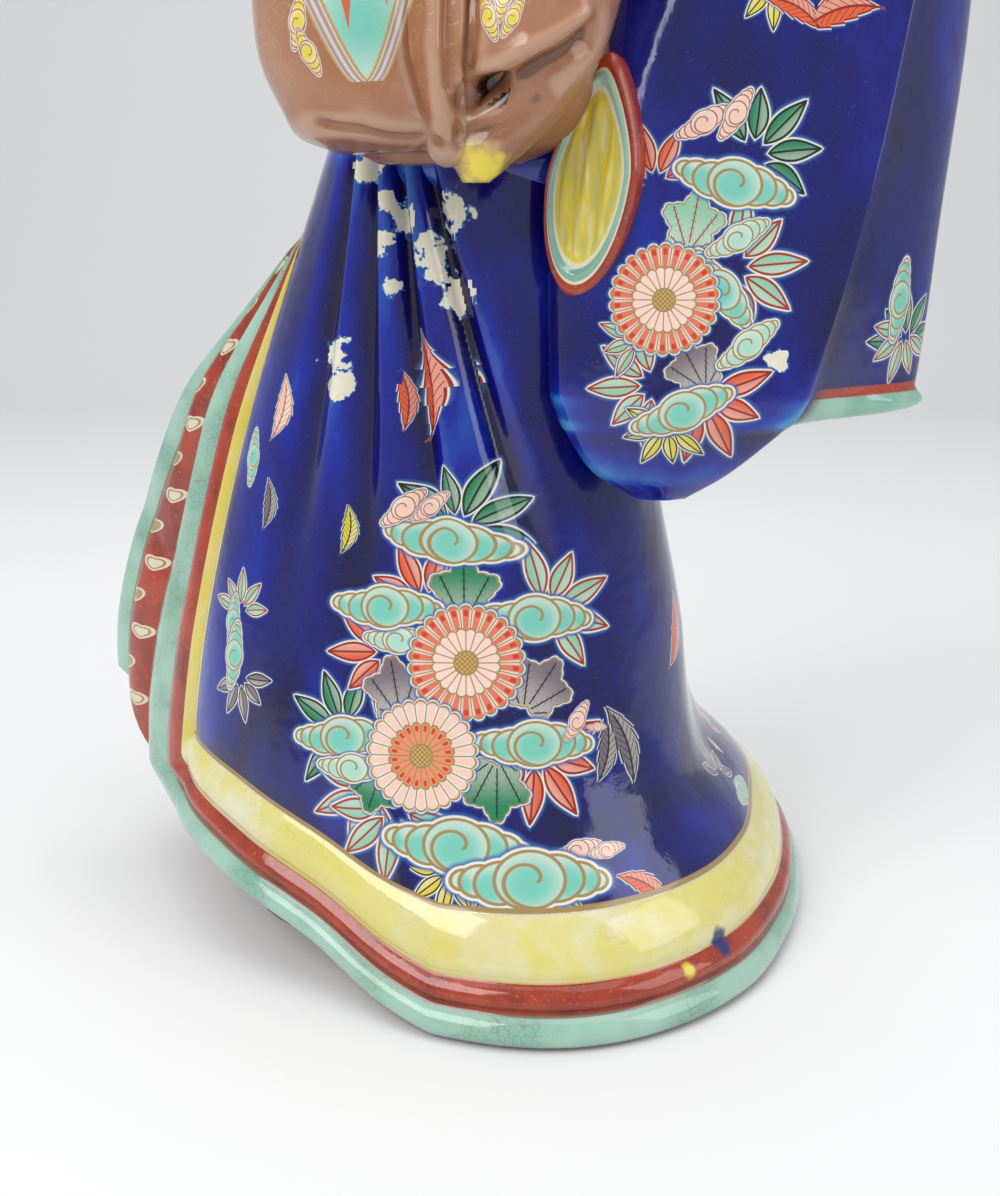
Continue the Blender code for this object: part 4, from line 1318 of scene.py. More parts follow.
def copperGroup():  # tan glaze, pinker where it is thin, with fine gold scrolls
    outputs = [("Color", "Color"), ("Scroll", "Float")]
    tree, given, output = group("copperGlazeLook", [("Where", "Vector")], outputs)
    where = given[0]
    broad = span(tree, noise(tree, where, 45.0, 3.0, 0.6), 0.3, 0.7)
    tan = mix(tree, broad, copperGlaze["tan"], copperGlaze["tanPale"])
    tan = mix(tree, span(tree, noise(tree, where, 130.0, 3.0, 0.6), 0.55, 0.8), tan, copperGlaze["pink"])
    cells = put(tree, "ShaderNodeTexVoronoi")
    tree.links.new(where, cells.inputs["Vector"])
    cells.inputs["Scale"].default_value = copperGlaze["scrolls"]
    off = vector(tree, "SUBTRACT", where, cells.outputs["Position"])
    parts = put(tree, "ShaderNodeSeparateXYZ", off).outputs
    angle = calc(tree, "DIVIDE", calc(tree, "ARCTAN2", parts[2], parts[0]), math.tau)
    winding = calc(tree, "MULTIPLY", cells.outputs["Distance"], copperGlaze["winding"])
    turns = calc(tree, "FRACT", calc(tree, "ADD", angle, winding))
    scroll = line(tree, calc(tree, "SUBTRACT", turns, 0.5), 0.11)
    scroll = calc(tree, "MULTIPLY", scroll, below(tree, cells.outputs["Distance"], 0.5, 0.6))
    amount = calc(tree, "MULTIPLY", scroll, copperGlaze["goldAmount"])
    close(tree, output, mix(tree, amount, tan, copperGlaze["gold"]), scroll)
    return tree


copperLook = copperGroup()


def coat(tree, shader, colour, height, strength, distance, gloss=None):  # colour, fine relief and gloss
    bump = put(tree, "ShaderNodeBump")
    bump.inputs["Strength"].default_value = strength
    bump.inputs["Distance"].default_value = distance
    tree.links.new(height, bump.inputs["Height"])
    tree.links.new(bump.outputs[0], shader.inputs["Normal"])
    tree.links.new(colour, shader.inputs["Base Color"])
    if gloss:
        tree.links.new(gloss, shader.inputs["Roughness"])


def attribute(tree, name, output="Fac"):
    return put(tree, "ShaderNodeAttribute", attribute_name=name).outputs[output]


def layered(tree):  # the place across and along the painted layers of a form
    layers = put(tree, "ShaderNodeUVMap", uv_map="layers").outputs[0]
    return put(tree, "ShaderNodeSeparateXYZ", layers).outputs[:2]


plainKinds = [kind for kind in motifKinds if kind not in ("ribbonPanel", "splash")]


# Allowed keeps the motifs off part of a form, and firm leaves out their blue haze.
def paintMotifs(tree, colour, where, kinds, allowed=None, firm=False):
    for kind in kinds:
        shared, most = motifKinds[kind]
        for i in range(most):
            spot = attribute(tree, kind + str(i), "Vector")
            painted, cover = use(tree, shared, spot, where)[:2]
            present = calc(tree, "GREATER_THAN", put(tree, "ShaderNodeSeparateXYZ", spot).outputs[2], 0.5)
            cover = calc(tree, "MULTIPLY", cover, present)
            if firm and kind != "splash":
                cover = span(tree, cover, 0.9, 1.0)
            if allowed:
                cover = calc(tree, "MULTIPLY", cover, allowed)
            colour = mix(tree, cover, colour, painted)
    return colour


layerPaint = {
    "yellow": (0.66, 0.60, 0.17, 1),
    "yellowDeep": (0.60, 0.46, 0.02, 1),
    "red": (0.38, 0.045, 0.016, 1),
    "redDark": (0.20, 0.02, 0.01, 1),
    "green": (0.33, 0.52, 0.42, 1),
    "greenDeep": (0.19, 0.40, 0.31, 1),
    "cream": (0.70, 0.66, 0.48, 1),
    "straw": (0.62, 0.55, 0.10, 1),
    "foot": (0.10, 0.012, 0.01, 1),
    "crackle": (0.25, 0.22, 0.15, 1),
    "crackleYellow": (0.40, 0.34, 0.15, 1),
    "speck": (0.5, 0.2, 0.1, 1),
    "brown": (0.30, 0.16, 0.06, 1),
    "heart": (0.66, 0.57, 0.42, 1),
    "heartBrown": (0.33, 0.24, 0.10, 1),
    "seam": (0.22, 0.12, 0.07, 1),
    "liningEdge": (0.003, 0.01, 0.2, 1),
    "lining": [(0.36, (0.50, 0.44, 0.12)), (0.5, (0.66, 0.52, 0.02)), (0.64, (0.66, 0.62, 0.38))],
}


def paleGreen(tree, where, crackled=0.8):
    deep = span(tree, noise(tree, where, 60.0, 3.0), 0.35, 0.7)
    colour = mix(tree, deep, layerPaint["green"], layerPaint["greenDeep"])
    return mix(tree, use(tree, crackle, where, crackled)[0], colour, layerPaint["crackle"])


def brickRed(tree, where):
    dark = span(tree, noise(tree, where, 90.0, 4.0, 0.6), 0.35, 0.75)
    colour = mix(tree, dark, layerPaint["red"], layerPaint["redDark"])
    specks = span(tree, noise(tree, where, 1100.0, 2.0), 0.62, 0.7)
    return mix(tree, calc(tree, "MULTIPLY", specks, 0.35), colour, layerPaint["speck"])


def paleYellow(tree, where):
    pale = span(tree, noise(tree, where, 70.0, 4.0, 0.6), 0.4, 0.75)
    colour = mix(tree, pale, layerPaint["yellow"], layerPaint["cream"])
    deep = span(tree, noise(tree, where, 35.0, 2.0), 0.55, 0.75)
    colour = mix(tree, calc(tree, "MULTIPLY", deep, 0.45), colour, layerPaint["straw"])
    return mix(tree, use(tree, crackle, where, 0.25)[0], colour, layerPaint["crackleYellow"])


hearts = {  # the dotted panel's hearts stand in two ragged columns, a row to each step of height
    "rows": 105.0,  # to the metre
    "height": 0.95,
    "column": 0.71,
    "ragged": 0.08,
    "squeeze": 2.7,
    "size": 0.19,
}


def heartPanel(tree, where, across, red):
    rows = calc(tree, "MULTIPLY", put(tree, "ShaderNodeSeparateXYZ", where).outputs[2], hearts["rows"])
    odd = calc(tree, "PINGPONG", calc(tree, "FLOOR", rows), 1.0)
    y = calc(tree, "MULTIPLY", calc(tree, "SUBTRACT", calc(tree, "FRACT", rows), 0.5), hearts["height"])
    x = calc(tree, "SUBTRACT", across, calc(tree, "MULTIPLY_ADD", odd, hearts["ragged"], hearts["column"]))
    x = calc(tree, "MULTIPLY", x, hearts["squeeze"])
    tall = calc(tree, "SUBTRACT", y, calc(tree, "MULTIPLY", calc(tree, "ABSOLUTE", x), 0.5))
    heart = put(tree, "ShaderNodeCombineXYZ", x, tall).outputs[0]
    heart = vector(tree, "LENGTH", heart, output=1)
    size = hearts["size"]
    colour = mix(tree, span(tree, heart, size - 0.005, size + 0.01), layerPaint["heart"], red)
    colour = mix(tree, line(tree, calc(tree, "SUBTRACT", heart, size - 0.06), 0.018), colour, gold)
    middle = calc(tree, "MULTIPLY", below(tree, heart, size - 0.08, size - 0.07), odd)
    return mix(tree, middle, colour, layerPaint["heartBrown"])


def robeMaterial():
    material, tree, shader, where = glazeMaterial("robeEnamel")
    across, level = layered(tree)
    blue, height, gloss = use(tree, blueLook, where, attribute(tree, "thin"))[:3]
    lips = robe["lips"]
    hem = None
    for i in range(3):  # the hem's rolls carry on the colours of the free edges
        high, low = hemTops[3 - i], hemTops[2 - i]
        part = put(tree, "ShaderNodeMapRange", level, high, low, 0.0, lips[i + 1] - lips[i]).outputs[0]
        hem = calc(tree, "ADD", hem, part) if hem else part
    edges = calc(tree, "MULTIPLY", across, calc(tree, "LESS_THAN", across, 1.006))
    layer = calc(tree, "MAXIMUM", edges, hem)
    onBlue = below(tree, layer, 0.0005, 0.002)
    strip = calc(tree, "GREATER_THAN", edges, hem)
    # the cream margin along the blue edge and the gold line above the hem
    margin = line(tree, calc(tree, "ADD", across, 0.0022), 0.0026)
    colour = mix(tree, margin, blue, layerPaint["cream"])
    colour = paintMotifs(tree, colour, where, plainKinds, onBlue)
    aboveHem = line(tree, calc(tree, "SUBTRACT", level, hemTops[3] + 0.05), 0.05)
    colour = mix(tree, calc(tree, "MULTIPLY", aboveHem, onBlue), colour, gold)
    yellow = calc(tree, "MULTIPLY", strip, 0.6)
    yellow = mix(tree, yellow, paleYellow(tree, where), layerPaint["yellowDeep"])
    colour = mix(tree, span(tree, layer, 0.0005, 0.002), colour, yellow)
    rim = line(tree, calc(tree, "SUBTRACT", level, hemTops[3] - 0.04), 0.04)
    rim = calc(tree, "MULTIPLY", rim, calc(tree, "SUBTRACT", 1.0, strip))
    colour = mix(tree, calc(tree, "MULTIPLY", rim, onBlue), colour, layerPaint["cream"])
    # red, then pale green, the hearts and pale green again, with a dark seam between them
    red = brickRed(tree, where)
    brown = mix(tree, below(tree, layer, 0.04, 0.15), red, layerPaint["brown"])
    start = calc(tree, "MULTIPLY_ADD", strip, 0.05 - lips[1], lips[1])
    started = span(tree, calc(tree, "SUBTRACT", layer, start), -0.004, 0.004)
    colour = mix(tree, started, colour, mix(tree, strip, red, brown))
    green = paleGreen(tree, where)
    colour = mix(tree, span(tree, layer, lips[2] - 0.004, lips[2] + 0.004), colour, green)
    dotted = heartPanel(tree, where, across, red)
    colour = mix(tree, span(tree, layer, lips[3] - 0.003, lips[3] + 0.003), colour, dotted)
    colour = mix(tree, span(tree, layer, lips[4] - 0.003, lips[4] + 0.003), colour, green)
    for lip in lips[2:]:
        seam = line(tree, calc(tree, "SUBTRACT", layer, lip), 0.006)
        colour = mix(tree, calc(tree, "MULTIPLY", seam, 0.8), colour, layerPaint["seam"])
    colour = paintMotifs(tree, colour, where, ["splash"])
    colour = mix(tree, below(tree, level, -0.1, 0.02), colour, layerPaint["foot"])
    coat(tree, shader, colour, height, *blueGlaze["bump"], gloss)
    return material


def blueBase(name):  # a material with the blue glaze and its motifs, before it is coated
    material, tree, shader, where = glazeMaterial(name)
    blue, height, gloss = use(tree, blueLook, where, attribute(tree, "thin"))[:3]
    colour = paintMotifs(tree, blue, where, plainKinds)

    def finishBlue(colour):
        coat(tree, shader, colour, height, *blueGlaze["bump"], gloss)
        return material

    return tree, where, colour, finishBlue


obi = {"low": 0.1875, "high": 0.2329, "soft": 0.0003}


def upperMaterial():  # blue, with the copper band of the obi round her waist
    tree, where, colour, finishBlue = blueBase("upperRobeEnamel")
    height = put(tree, "ShaderNodeSeparateXYZ", where).outputs[2]
    low, high, soft = obi["low"], obi["high"], obi["soft"]
    band = span(tree, height, low - soft, low + soft)
    band = calc(tree, "MULTIPLY", band, below(tree, height, high - soft, high + soft))
    band = calc(tree, "MULTIPLY", band, attribute(tree, "waist"))
    return finishBlue(mix(tree, band, colour, use(tree, copperLook, where)[0]))


def sleeveMaterial():  # blue, with a red and a pale green band along the lower end
    tree, where, colour, finishBlue = blueBase("sleeveEnamel")
    around, height = layered(tree)
    end = calc(tree, "MULTIPLY", span(tree, around, 0.42, 0.45), below(tree, around, 0.72, 0.75))
    for top, paint in ((13.4, brickRed(tree, where)), (13.2, paleGreen(tree, where, 0.2))):
        band = calc(tree, "MULTIPLY", end, below(tree, height, top - 0.04, top))
        colour = mix(tree, band, colour, paint)
    return finishBlue(colour)


def mouthMaterial():  # rings of red, cream and pale green round a streaked yellow lining
    material, tree, shader, where = glazeMaterial("sleeveMouthEnamel")
    across = layered(tree)[1]
    colour = mix(tree, span(tree, across, 0.1, 0.15), layerPaint["liningEdge"], brickRed(tree, where))
    colour = mix(tree, span(tree, across, 0.95, 1.0), colour, layerPaint["cream"])
    colour = mix(tree, span(tree, across, 1.1, 1.2), colour, paleGreen(tree, where, 0.2))
    colour = mix(tree, span(tree, across, 1.95, 2.0), colour, layerPaint["cream"])
    streaked = noise(tree, vector(tree, "MULTIPLY", where, (1.0, 1.0, 0.12)), 520.0, 2.0)
    lining = ramp(tree, streaked, layerPaint["lining"])
    colour = mix(tree, span(tree, across, 2.15, 2.3), colour, lining)
    coat(tree, shader, colour, noise(tree, where, 90.0, 2.0), 0.3, 0.001)
    return material


# Painted shade toward her left, on the bow's underside and in its creases, and a painted highlight along its
# ridges.
bowPaint = {
    "shaded": (0.30, 0.11, 0.04, 1),  # toward her left
    "low": (0.17, 0.07, 0.035, 1),
    "groove": (0.07, 0.02, 0.008, 1),
    "ridge": (0.62, 0.42, 0.30, 1),
    "bump": (0.4, 0.001),
}


def bowMaterial():
    material, tree, shader, where = glazeMaterial("bowEnamel")
    tan, scroll = use(tree, copperLook, where)[:2]
    sideways, away, height = put(tree, "ShaderNodeSeparateXYZ", where).outputs
    thin = attribute(tree, "thin")
    # painted shade toward her left, under the bow and in its creases, and a painted highlight on its ridges
    for amount, strength, paint in (
        (span(tree, sideways, -0.035, 0.0), 0.6, "shaded"),
        (below(tree, height, 0.176, 0.190), 0.6, "low"),
        (below(tree, thin, 0.02, 0.26), 0.75, "groove"),
        (span(tree, thin, 0.62, 0.95), 0.4, "ridge"),
    ):
        tan = mix(tree, calc(tree, "MULTIPLY", amount, strength), tan, bowPaint[paint])
    colour = paintMotifs(tree, tan, where, ["ribbonPanel", "cloud", "splash"], firm=True)
    relief = calc(tree, "MULTIPLY_ADD", scroll, 0.06, noise(tree, where, 80.0, 2.0))
    gloss = span(tree, noise(tree, where, 90.0, 3.0), 0.35, 0.75, 0.12, 0.28)
    coat(tree, shader, colour, relief, *bowPaint["bump"], gloss)
    return material


def collarMaterial():  # red, yellow and pale green bands along the roll
    material, tree, shader, where = glazeMaterial("collarEnamel")
    wave = calc(tree, "SINE", calc(tree, "MULTIPLY", layered(tree)[0], math.tau))
    colour = mix(tree, span(tree, wave, -0.3, -0.25), brickRed(tree, where), paleGreen(tree, where, 0.3))
    colour = mix(tree, span(tree, wave, 0.35, 0.4), colour, paleYellow(tree, where))
    coat(tree, shader, colour, noise(tree, where, 90.0, 2.0), 0.3, 0.001)
    return material


whiteGlaze = {
    "skin": ((0.78, 0.74, 0.68, 1), (0.84, 0.79, 0.72, 1)),
    "face": ((0.76, 0.69, 0.60, 1), (0.80, 0.73, 0.65, 1)),
    "bump": (0.2, 0.0006),
}


def whiteOf(tree, where, kind):
    return mix(tree, span(tree, noise(tree, where, 40.0, 3.0), 0.3, 0.7), *whiteGlaze[kind])


def skinMaterial():
    material, tree, shader, where = glazeMaterial("whiteGlaze")
    coat(tree, shader, whiteOf(tree, where, "skin"), noise(tree, where, 80.0, 2.0), *whiteGlaze["bump"])
    return material


facePaint = {
    "blush": (0.72, 0.30, 0.24, 1),
    "brow": (0.02, 0.015, 0.012, 1),
    "eye": (0.80, 0.78, 0.73, 1),
    "iris": (0.012, 0.008, 0.006, 1),
    "lid": (0.01, 0.008, 0.008, 1),
    "lips": (0.50, 0.03, 0.02, 1),
    "parting": (0.12, 0.01, 0.01, 1),
}


def faceMaterial():  # brows, eyes, lips and a blush on the white glaze
    material, tree, shader, where = glazeMaterial("faceEnamel")
    side, up, ahead = put(tree, "ShaderNodeSeparateXYZ", attribute(tree, "facePlace", "Vector")).outputs
    beside = calc(tree, "ABSOLUTE", side)

    def oval(x, y, wide, tall, bend=0.0):  # 1 at an oval's rim, less inside it
        across = calc(tree, "DIVIDE", calc(tree, "SUBTRACT", beside if x else side, x), wide)
        arch = calc(tree, "MULTIPLY", calc(tree, "MULTIPLY", across, across), bend)
        height = calc(tree, "DIVIDE", calc(tree, "ADD", calc(tree, "SUBTRACT", up, y), arch), tall)
        off = put(tree, "ShaderNodeCombineXYZ", across, height).outputs[0]
        return vector(tree, "LENGTH", off, output=1)

    def inside(value, soft=0.12):
        return below(tree, value, 1 - soft, 1 + soft)

    plain = whiteOf(tree, where, "face")
    x, y, size = face["blush"]
    blush = calc(tree, "MULTIPLY", below(tree, oval(x, y, size, size), 0.1, 1.0), 0.3)
    colour = mix(tree, blush, plain, facePaint["blush"])
    x, y, wide, tall = face["brow"]
    brow = calc(tree, "MULTIPLY", inside(oval(x, y, wide, tall, 0.13), 0.3), 0.75)
    colour = mix(tree, brow, colour, facePaint["brow"])
    x, y, wide, tall = face["eye"]
    eye = inside(oval(x, y, wide, tall, 0.03))
    colour = mix(tree, eye, colour, facePaint["eye"])
    iris = calc(tree, "MULTIPLY", inside(oval(x, y, face["iris"], face["iris"])), eye)
    colour = mix(tree, iris, colour, facePaint["iris"])
    upper = inside(oval(x, y + 0.01, wide * 1.08, tall * 1.3, 0.03))
    lid = calc(tree, "SUBTRACT", upper, inside(oval(x, y - 0.03, wide, tall, 0.03)))
    lid = calc(tree, "MULTIPLY", calc(tree, "MAXIMUM", lid, 0.0), calc(tree, "GREATER_THAN", up, y - 0.02))
    colour = mix(tree, lid, colour, facePaint["lid"])
    x, y, wide, tall = face["mouth"]
    colour = mix(tree, inside(oval(x, y, wide, tall, -0.02), 0.15), colour, facePaint["lips"])
    parting = line(tree, calc(tree, "SUBTRACT", up, y), 0.012)
    parting = calc(tree, "MULTIPLY", parting, inside(oval(x, y, wide * 1.05, tall)))
    colour = mix(tree, calc(tree, "MULTIPLY", parting, 0.8), colour, facePaint["parting"])
    colour = mix(tree, span(tree, ahead, 0.3, 0.6), plain, colour)
    coat(tree, shader, colour, noise(tree, where, 80.0, 2.0), *whiteGlaze["bump"])
    return material


hairPaint = {
    "strands": 90,
    "black": (0.003, 0.003, 0.004, 1),
    "shine": (0.022, 0.018, 0.018, 1),
    "tieWidth": 0.0012,
    "tieEdge": (0.50, 0.36, 0.10, 1),
    "bump": (0.4, 0.0005),
}


def hairMaterial():  # combed strands and a red tie round the top knot
    material, tree, shader, where = glazeMaterial("hairEnamel")
    middle = place @ directed(-0.6, 0, 0, body["head"])
    x, y, z = put(tree, "ShaderNodeSeparateXYZ", vector(tree, "SUBTRACT", where, tuple(middle))).outputs
    around = calc(tree, "MULTIPLY", calc(tree, "ARCTAN2", y, x), hairPaint["strands"])
    strands = calc(tree, "SINE", calc(tree, "MULTIPLY_ADD", noise(tree, where, 260.0, 2.0), 5.0, around))
    colour = mix(tree, span(tree, strands, 0.2, 1.0, 0.0, 0.6), hairPaint["black"], hairPaint["shine"])
    fromTie = calc(tree, "SUBTRACT", z, hair["tie"])
    colour = mix(tree, line(tree, fromTie, hairPaint["tieWidth"]), colour, brickRed(tree, where))
    edge = calc(tree, "SUBTRACT", calc(tree, "ABSOLUTE", fromTie), hairPaint["tieWidth"] + 0.0001)
    colour = mix(tree, line(tree, edge, 0.0002), colour, hairPaint["tieEdge"])
    coat(tree, shader, colour, strands, *hairPaint["bump"])
    return material


def floorMaterial():
    material, tree, shader, where = glazeMaterial("floorPaint")
    colour = mix(tree, noise(tree, where, 3.0, 2.0), (0.80, 0.80, 0.79, 1), (0.82, 0.82, 0.82, 1))
    tree.links.new(colour, shader.inputs["Base Color"])
    shader.inputs["Coat Weight"].default_value = 0
    shader.inputs["Roughness"].default_value = 0.55
    return material


# The painted motifs: a photo pixel or a point of the layout, size in pixels, turn and enamel.
skirtMotifs = {
    "chrysanthemum": [((466, 663), 60, 0, "orange"), ((421, 756), 58, 0, "pink")],
    "cloud": [
        ((450, 541), 60, -8, "turquoise"),
        ((384, 607), 56, 0, "turquoise"),
        ((398, 640), 36, 0, "mint"),
        ((535, 618), 60, 0, "turquoise"),
        ((342, 737), 54, 5, "turquoise"),
        ((352, 768), 38, 0, "mint"),
        ((535, 744), 60, 0, "turquoise"),
        ((456, 846), 72, -5, "turquoise"),
        ((530, 880), 78, 3, "turquoise"),
        ((403, 508), 28, 40, "pink"),
        ((430, 507), 22, 40, "pink"),
        ((577, 721), 22, 60, "pink"),
        ((578, 850), 26, 20, "pink"),
        ((607, 850), 20, 20, "pink"),
        ((597, 727), 11, 0, "pink"),
        ((253, 457), 28, 80, "turquoise"),
        ((233, 622), 28, 80, "turquoise"),
        ((234, 655), 34, 80, "turquoise"),
        ((742, 790), 30, 75, "turquoise"),
        ((715, 745), 12, 0, "pink"),
    ],
    "leafSpray": [
        ((458, 530), 78, -25, "green"),
        ((425, 606), 72, 22, "orange"),
        ((390, 652), 72, 92, "orange"),
        ((345, 733), 72, 60, "green"),
        ((378, 788), 80, 112, "paleGreen"),
        ((394, 806), 82, 172, "paleGreen"),
        ((545, 614), 80, -62, "paleGreen"),
        ((535, 752), 80, -146, "orange"),
        ((498, 880), 56, 178, "yellow"),
        ((548, 885), 54, -165, "yellow"),
        ((452, 868), 56, 165, "yellow"),
        ((240, 612), 46, -8, "paleGreen"),
        ((240, 676), 48, 190, "grey"),
        ((722, 775), 44, 45, "grey"),
        ((706, 722), 36, 20, "orange"),
    ],
    "lobedLeaf": [
        ((464, 592), 38, 0, "green"),
        ((396, 690), 36, 10, "grey"),
        ((540, 688), 36, -35, "grey"),
        ((497, 788), 36, 180, "green"),
        ((376, 786), 30, 160, "green"),
    ],
    "fallingLeaf": [
        ((432, 388), 58, 12, "orange"),
        ((409, 402), 34, 2, "orange"),
        ((283, 412), 36, -22, "pink"),
        ((350, 533), 27, -12, "yellow"),
        ((270, 507), 28, -12, "grey"),
        ((628, 745), 46, 22, "grey"),
        ((608, 752), 38, -10, "grey"),
        ((650, 886), 36, 62, "orange"),
        ((676, 635), 42, -12, "orange"),
    ],
    "barePatch": [
        ((x, y), size, 0, "white")
        for x, y, size in (
            (405, 220, 20), (430, 250, 19), (440, 274, 17), (455, 298, 19), (379, 242, 14),
            (391, 287, 13), (334, 358, 21), (337, 385, 19), (368, 166, 19), (457, 212, 21),
            (388, 200, 13),
        )
    ],
    "splash": [((718, 938), 17, 0, "navy"), ((690, 971), 13, 0, "yellow")],
}

sleeveMotifs = {
    "chrysanthemum": [((664, 300), 56, 0, "orange")],
    "cloud": [
        ((735, 183), 60, -12, "turquoise"),
        ((704, 122), 30, 30, "pink"),
        ((736, 114), 28, 60, "pink"),
        ((722, 290), 46, -50, "turquoise"),
        ((682, 412), 52, 25, "turquoise"),
        ((748, 345), 36, 40, "mint"),
        ((738, 238), 34, 30, "mint"),
        ((900, 300), 40, 85, "turquoise"),
    ],
    "leafSpray": [
        ((752, 156), 78, -45, "green"),
        ((655, 185), 62, 15, "orange"),
        ((700, 395), 78, -150, "orange"),
        ((732, 268), 80, -85, "paleGreen"),
        ((655, 385), 72, 95, "paleGreen"),
        ((668, 425), 52, 150, "yellow"),
        ((640, 340), 46, 70, "paleGreen"),
        ((775, -20), 50, 180, "yellow"),
        ((905, 345), 62, 5, "green"),
        ((905, 330), 56, 160, "paleGreen"),
    ],
    "lobedLeaf": [((693, 224), 34, -10, "paleGreen"), ((694, 368), 30, 30, "grey")],
    "fallingLeaf": [((842, 8), 46, 105, "orange"), ((800, 8), 36, 60, "orange")],
    "barePatch": [((777, 362), 14, 0, "white")],
}


def bouquet(centre, aside, size=1.0):  # the same flowers for the sides that the photo doesn't show
    x, y, z = centre
    dx, dy = aside

    def at(along, up):
        return (x + dx * along * size, y + dy * along * size, z + up * size)

    return {
        "chrysanthemum": [(at(0.6, 0.5), 52 * size, 0, "orange"), (at(-0.9, -1.2), 50 * size, 0, "pink")],
        "cloud": [
            (at(-1.6, 1.2), 62 * size, 10, "turquoise"),
            (at(2.1, -0.9), 60 * size, -8, "turquoise"),
            (at(0.6, -2.9), 64 * size, 0, "turquoise"),
            (at(-2.8, -1.9), 50 * size, 15, "mint"),
        ],
        "leafSpray": [
            (at(0.7, 1.6), 66 * size, -15, "green"),
            (at(-1.8, 1.7), 60 * size, 40, "orange"),
            (at(2.4, 0.2), 62 * size, -70, "paleGreen"),
            (at(-2.6, -2.3), 60 * size, 140, "orange"),
            (at(1.4, -3.3), 56 * size, -165, "yellow"),
        ],
        "lobedLeaf": [(at(-0.9, 0.5), 34 * size, 20, "green"), (at(0.8, -1.3), 34 * size, 200, "grey")],
        "fallingLeaf": [(at(3.4, 2.6), 44 * size, 20, "orange"), (at(-3.4, 3.2), 38 * size, -15, "yellow")],
    }


def gather(*sets):
    return {kind: [spot for each in sets for spot in each.get(kind, [])] for kind in motifKinds}


bowMotifs = {
    "ribbonPanel": [((362, 22), 64, 3, "turquoise")],
    "cloud": [
        ((297, 22), 26, 80, "lemon"),
        ((308, 52), 24, -60, "lemon"),
        ((503, -4), 24, 80, "lemon"),
        ((488, 16), 24, -70, "lemon"),
        ((512, 18), 20, 60, "lemon"),
    ],
    # the dark brown spot is painted shade in the hollow under the right loop
    "splash": [((484, 168), 36, 0, "lemon"), ((484, 89), 24, 0, "holeShade")],
}


# The pieces.
robeGlaze = robeMaterial()
upperGlaze = upperMaterial()
sleeveGlaze = sleeveMaterial()
mouthGlaze = mouthMaterial()
bowGlaze = bowMaterial()
collarGlaze = collarMaterial()
skinGlaze = skinMaterial()
faceGlaze = faceMaterial()
hairGlaze = hairMaterial()
floorPaint = floorMaterial()
print("mixed the glazes")


def enamelled(mesh, motifs, contrast=0.3):  # a form with its glaze thickness and its painted motifs
    glazeThickness(mesh, contrast)
    placeMotifs(mesh, motifs)
    return mesh


bouquets = {  # on the sides that the photo doesn't show: middle, the way it spreads and its size
    "behind": ((3.4, 8.0, 6.4), (0.95, -0.32), 1.0),
    "rightBack": ((-5.0, 7.0, 6.6), (0.83, 0.55), 0.9),
    "back": ((1.2, 4.0, 23.0), (1.0, 0.0), 0.6),
    "leftSleeve": ((5.6, -1.0, 18.0), (0.9, -0.3), 0.7),
    "rightSleeve": ((-3.0, 5.0, 18.0), (0.8, 0.5), 0.65),
}
placed = {name: bouquet(*values) for name, values in bouquets.items()}

skirtPainting = gather(skirtMotifs, placed["behind"], placed["rightBack"])
finish("robe", enamelled(robeForm(), skirtPainting), robeGlaze, "lady_figure")
upper = skin(ovalRows(torso, -layout["turn"]), 128, 8)
waist = upper.verts.layers.float.new("waist")
for vert in upper.verts:
    vert[waist] = 1
finish("upperRobe", enamelled(upper, placed["back"]), upperGlaze)
sleevePainting = gather(sleeveMotifs, placed["leftSleeve"])
finish("leftSleeve", enamelled(skin(leftSleeve, 240, 12), sleevePainting), sleeveGlaze)
hanging = skin(ovalRows(rightSleeve, 35), 120, 10)
finish("rightSleeve", enamelled(hanging, placed["rightSleeve"]), upperGlaze)
finish("sleeveMouth", mouthForm(), mouthGlaze)
finish("bow", enamelled(bowForm(), bowMotifs), bowGlaze)
for side, out, width in body["collars"]:
    finish("collar" + ("Left" if side > 0 else "Right"), collarForm(side, out, width), collarGlaze)
for name in ("leftArm", "rightArm"):
    arm = limb(body[name], body[name + "Radii"], 64)
    finish(name, enamelled(arm, {}, 0.08), upperGlaze)
for name in ("leftHand", "rightHand"):
    finish(name, handForm(body[name]), skinGlaze)
finish("head", headForm(), faceGlaze)
finish("hair", hairForm(), hairGlaze)


# Floor, light and camera.
stage = {
    "size": 4.0,
    "sweep": 0.9,  # where the floor starts to curve up, and the curve's radius
    "radius": 0.5,
    "steps": 12,
    "height": 1.6,
    "air": (0.9, 0.92, 0.95, 1),
    "airStrength": 0.62,
}
lamps = {  # where it hangs, what it aims at, its size and its power
    "windowLight": ((-55, -60, 75), (0, 0, 12), (0.6, 0.6), 5.6),
    "fillLight": ((75, -35, 50), (0, 0, 12), (0.5, 0.7), 2.4),
    "topLight": ((0, 10, 110), (0, 0, 10), (1.2, 1.2), 5.2),
}


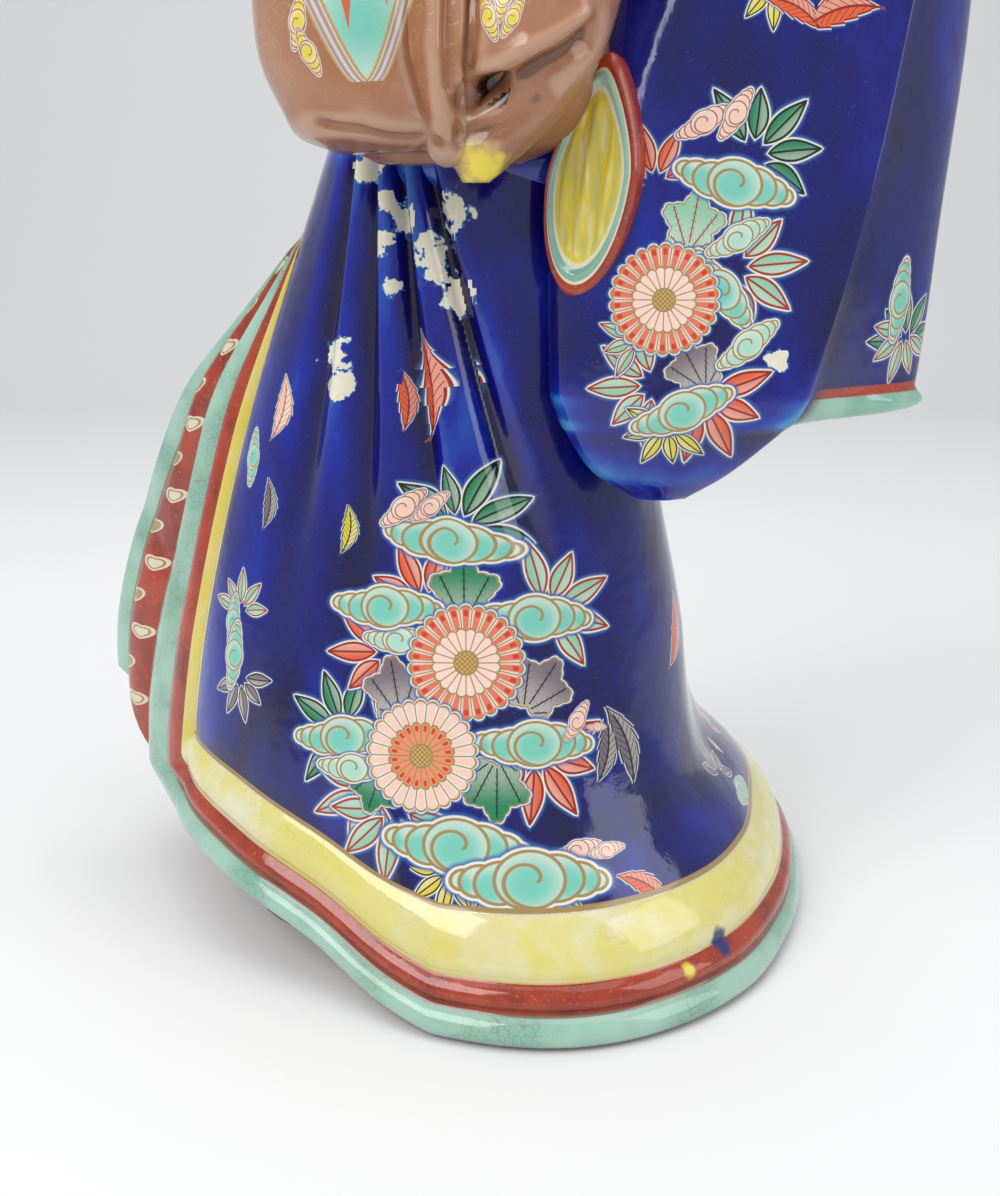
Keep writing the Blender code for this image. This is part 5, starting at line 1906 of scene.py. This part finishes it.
def floorForm():  # a pale floor that curves up behind the figure
    mesh = bmesh.new()
    half, radius = stage["size"] / 2, stage["radius"]
    corner = mesh.verts.new((-half, -half, 0))
    other = mesh.verts.new((half, -half, 0))
    edge = [mesh.edges.new((corner, other))]
    path = []
    for i in range(stage["steps"] + 1):
        turn = math.pi / 2 * i / stage["steps"]
        path.append((stage["sweep"] + radius * math.sin(turn), radius * (1 - math.cos(turn))))
    path.append((stage["sweep"] + radius, stage["height"]))
    for y, z in path:
        made = bmesh.ops.extrude_edge_only(mesh, edges=edge)["geom"]
        edge = [item for item in made if isinstance(item, bmesh.types.BMEdge)]
        for item in made:
            if isinstance(item, bmesh.types.BMVert):
                item.co.y = y
                item.co.z = z
    bmesh.ops.recalc_face_normals(mesh, faces=mesh.faces)
    turned = Matrix.Rotation(math.radians(layout["turn"]), 3, "Z")
    bmesh.ops.rotate(mesh, cent=(0, 0, 0), matrix=turned, verts=mesh.verts)
    return mesh


floorData = bpy.data.meshes.new("floor")
floorMesh = floorForm()
floorMesh.to_mesh(floorData)
floorMesh.free()
floorData.shade_smooth()
floor = bpy.data.objects.new("floor", floorData)
bpy.context.scene.collection.objects.link(floor)
floorData.materials.append(floorPaint)

camera = bpy.data.cameras.new("photoCamera")
camera.sensor_fit = "VERTICAL"
camera.sensor_width = 36
camera.sensor_height = 36
camera.lens = camera.sensor_height * view["focal"] / view["picture"][1]
camera.clip_start = 0.01
cameraObject = bpy.data.objects.new("photoCamera", camera)
cameraObject.location = place @ Vector((0, -view["distance"], view["height"]))
cameraObject.rotation_euler = (math.radians(90 - view["pitch"]), 0, math.radians(layout["turn"]))
bpy.context.scene.collection.objects.link(cameraObject)
bpy.context.scene.camera = cameraObject


def softLight(name, where, aim, size, power):
    light = bpy.data.lights.new(name, "AREA")
    light.shape = "RECTANGLE"
    light.size, light.size_y = size
    light.energy = power
    lamp = bpy.data.objects.new(name, light)
    lamp.location = place @ Vector(where)
    direction = (place @ Vector(aim)) - lamp.location
    lamp.rotation_euler = direction.to_track_quat("-Z", "Y").to_euler()
    bpy.context.scene.collection.objects.link(lamp)


for name, values in lamps.items():
    softLight(name, *values)

bpy.context.scene.view_settings.view_transform = "Standard"
world = bpy.context.scene.world or bpy.data.worlds.new("studio")
bpy.context.scene.world = world
world.use_nodes = True
world.node_tree.nodes["Background"].inputs["Color"].default_value = stage["air"]
world.node_tree.nodes["Background"].inputs["Strength"].default_value = stage["airStrength"]
print("lit the studio and placed the camera")
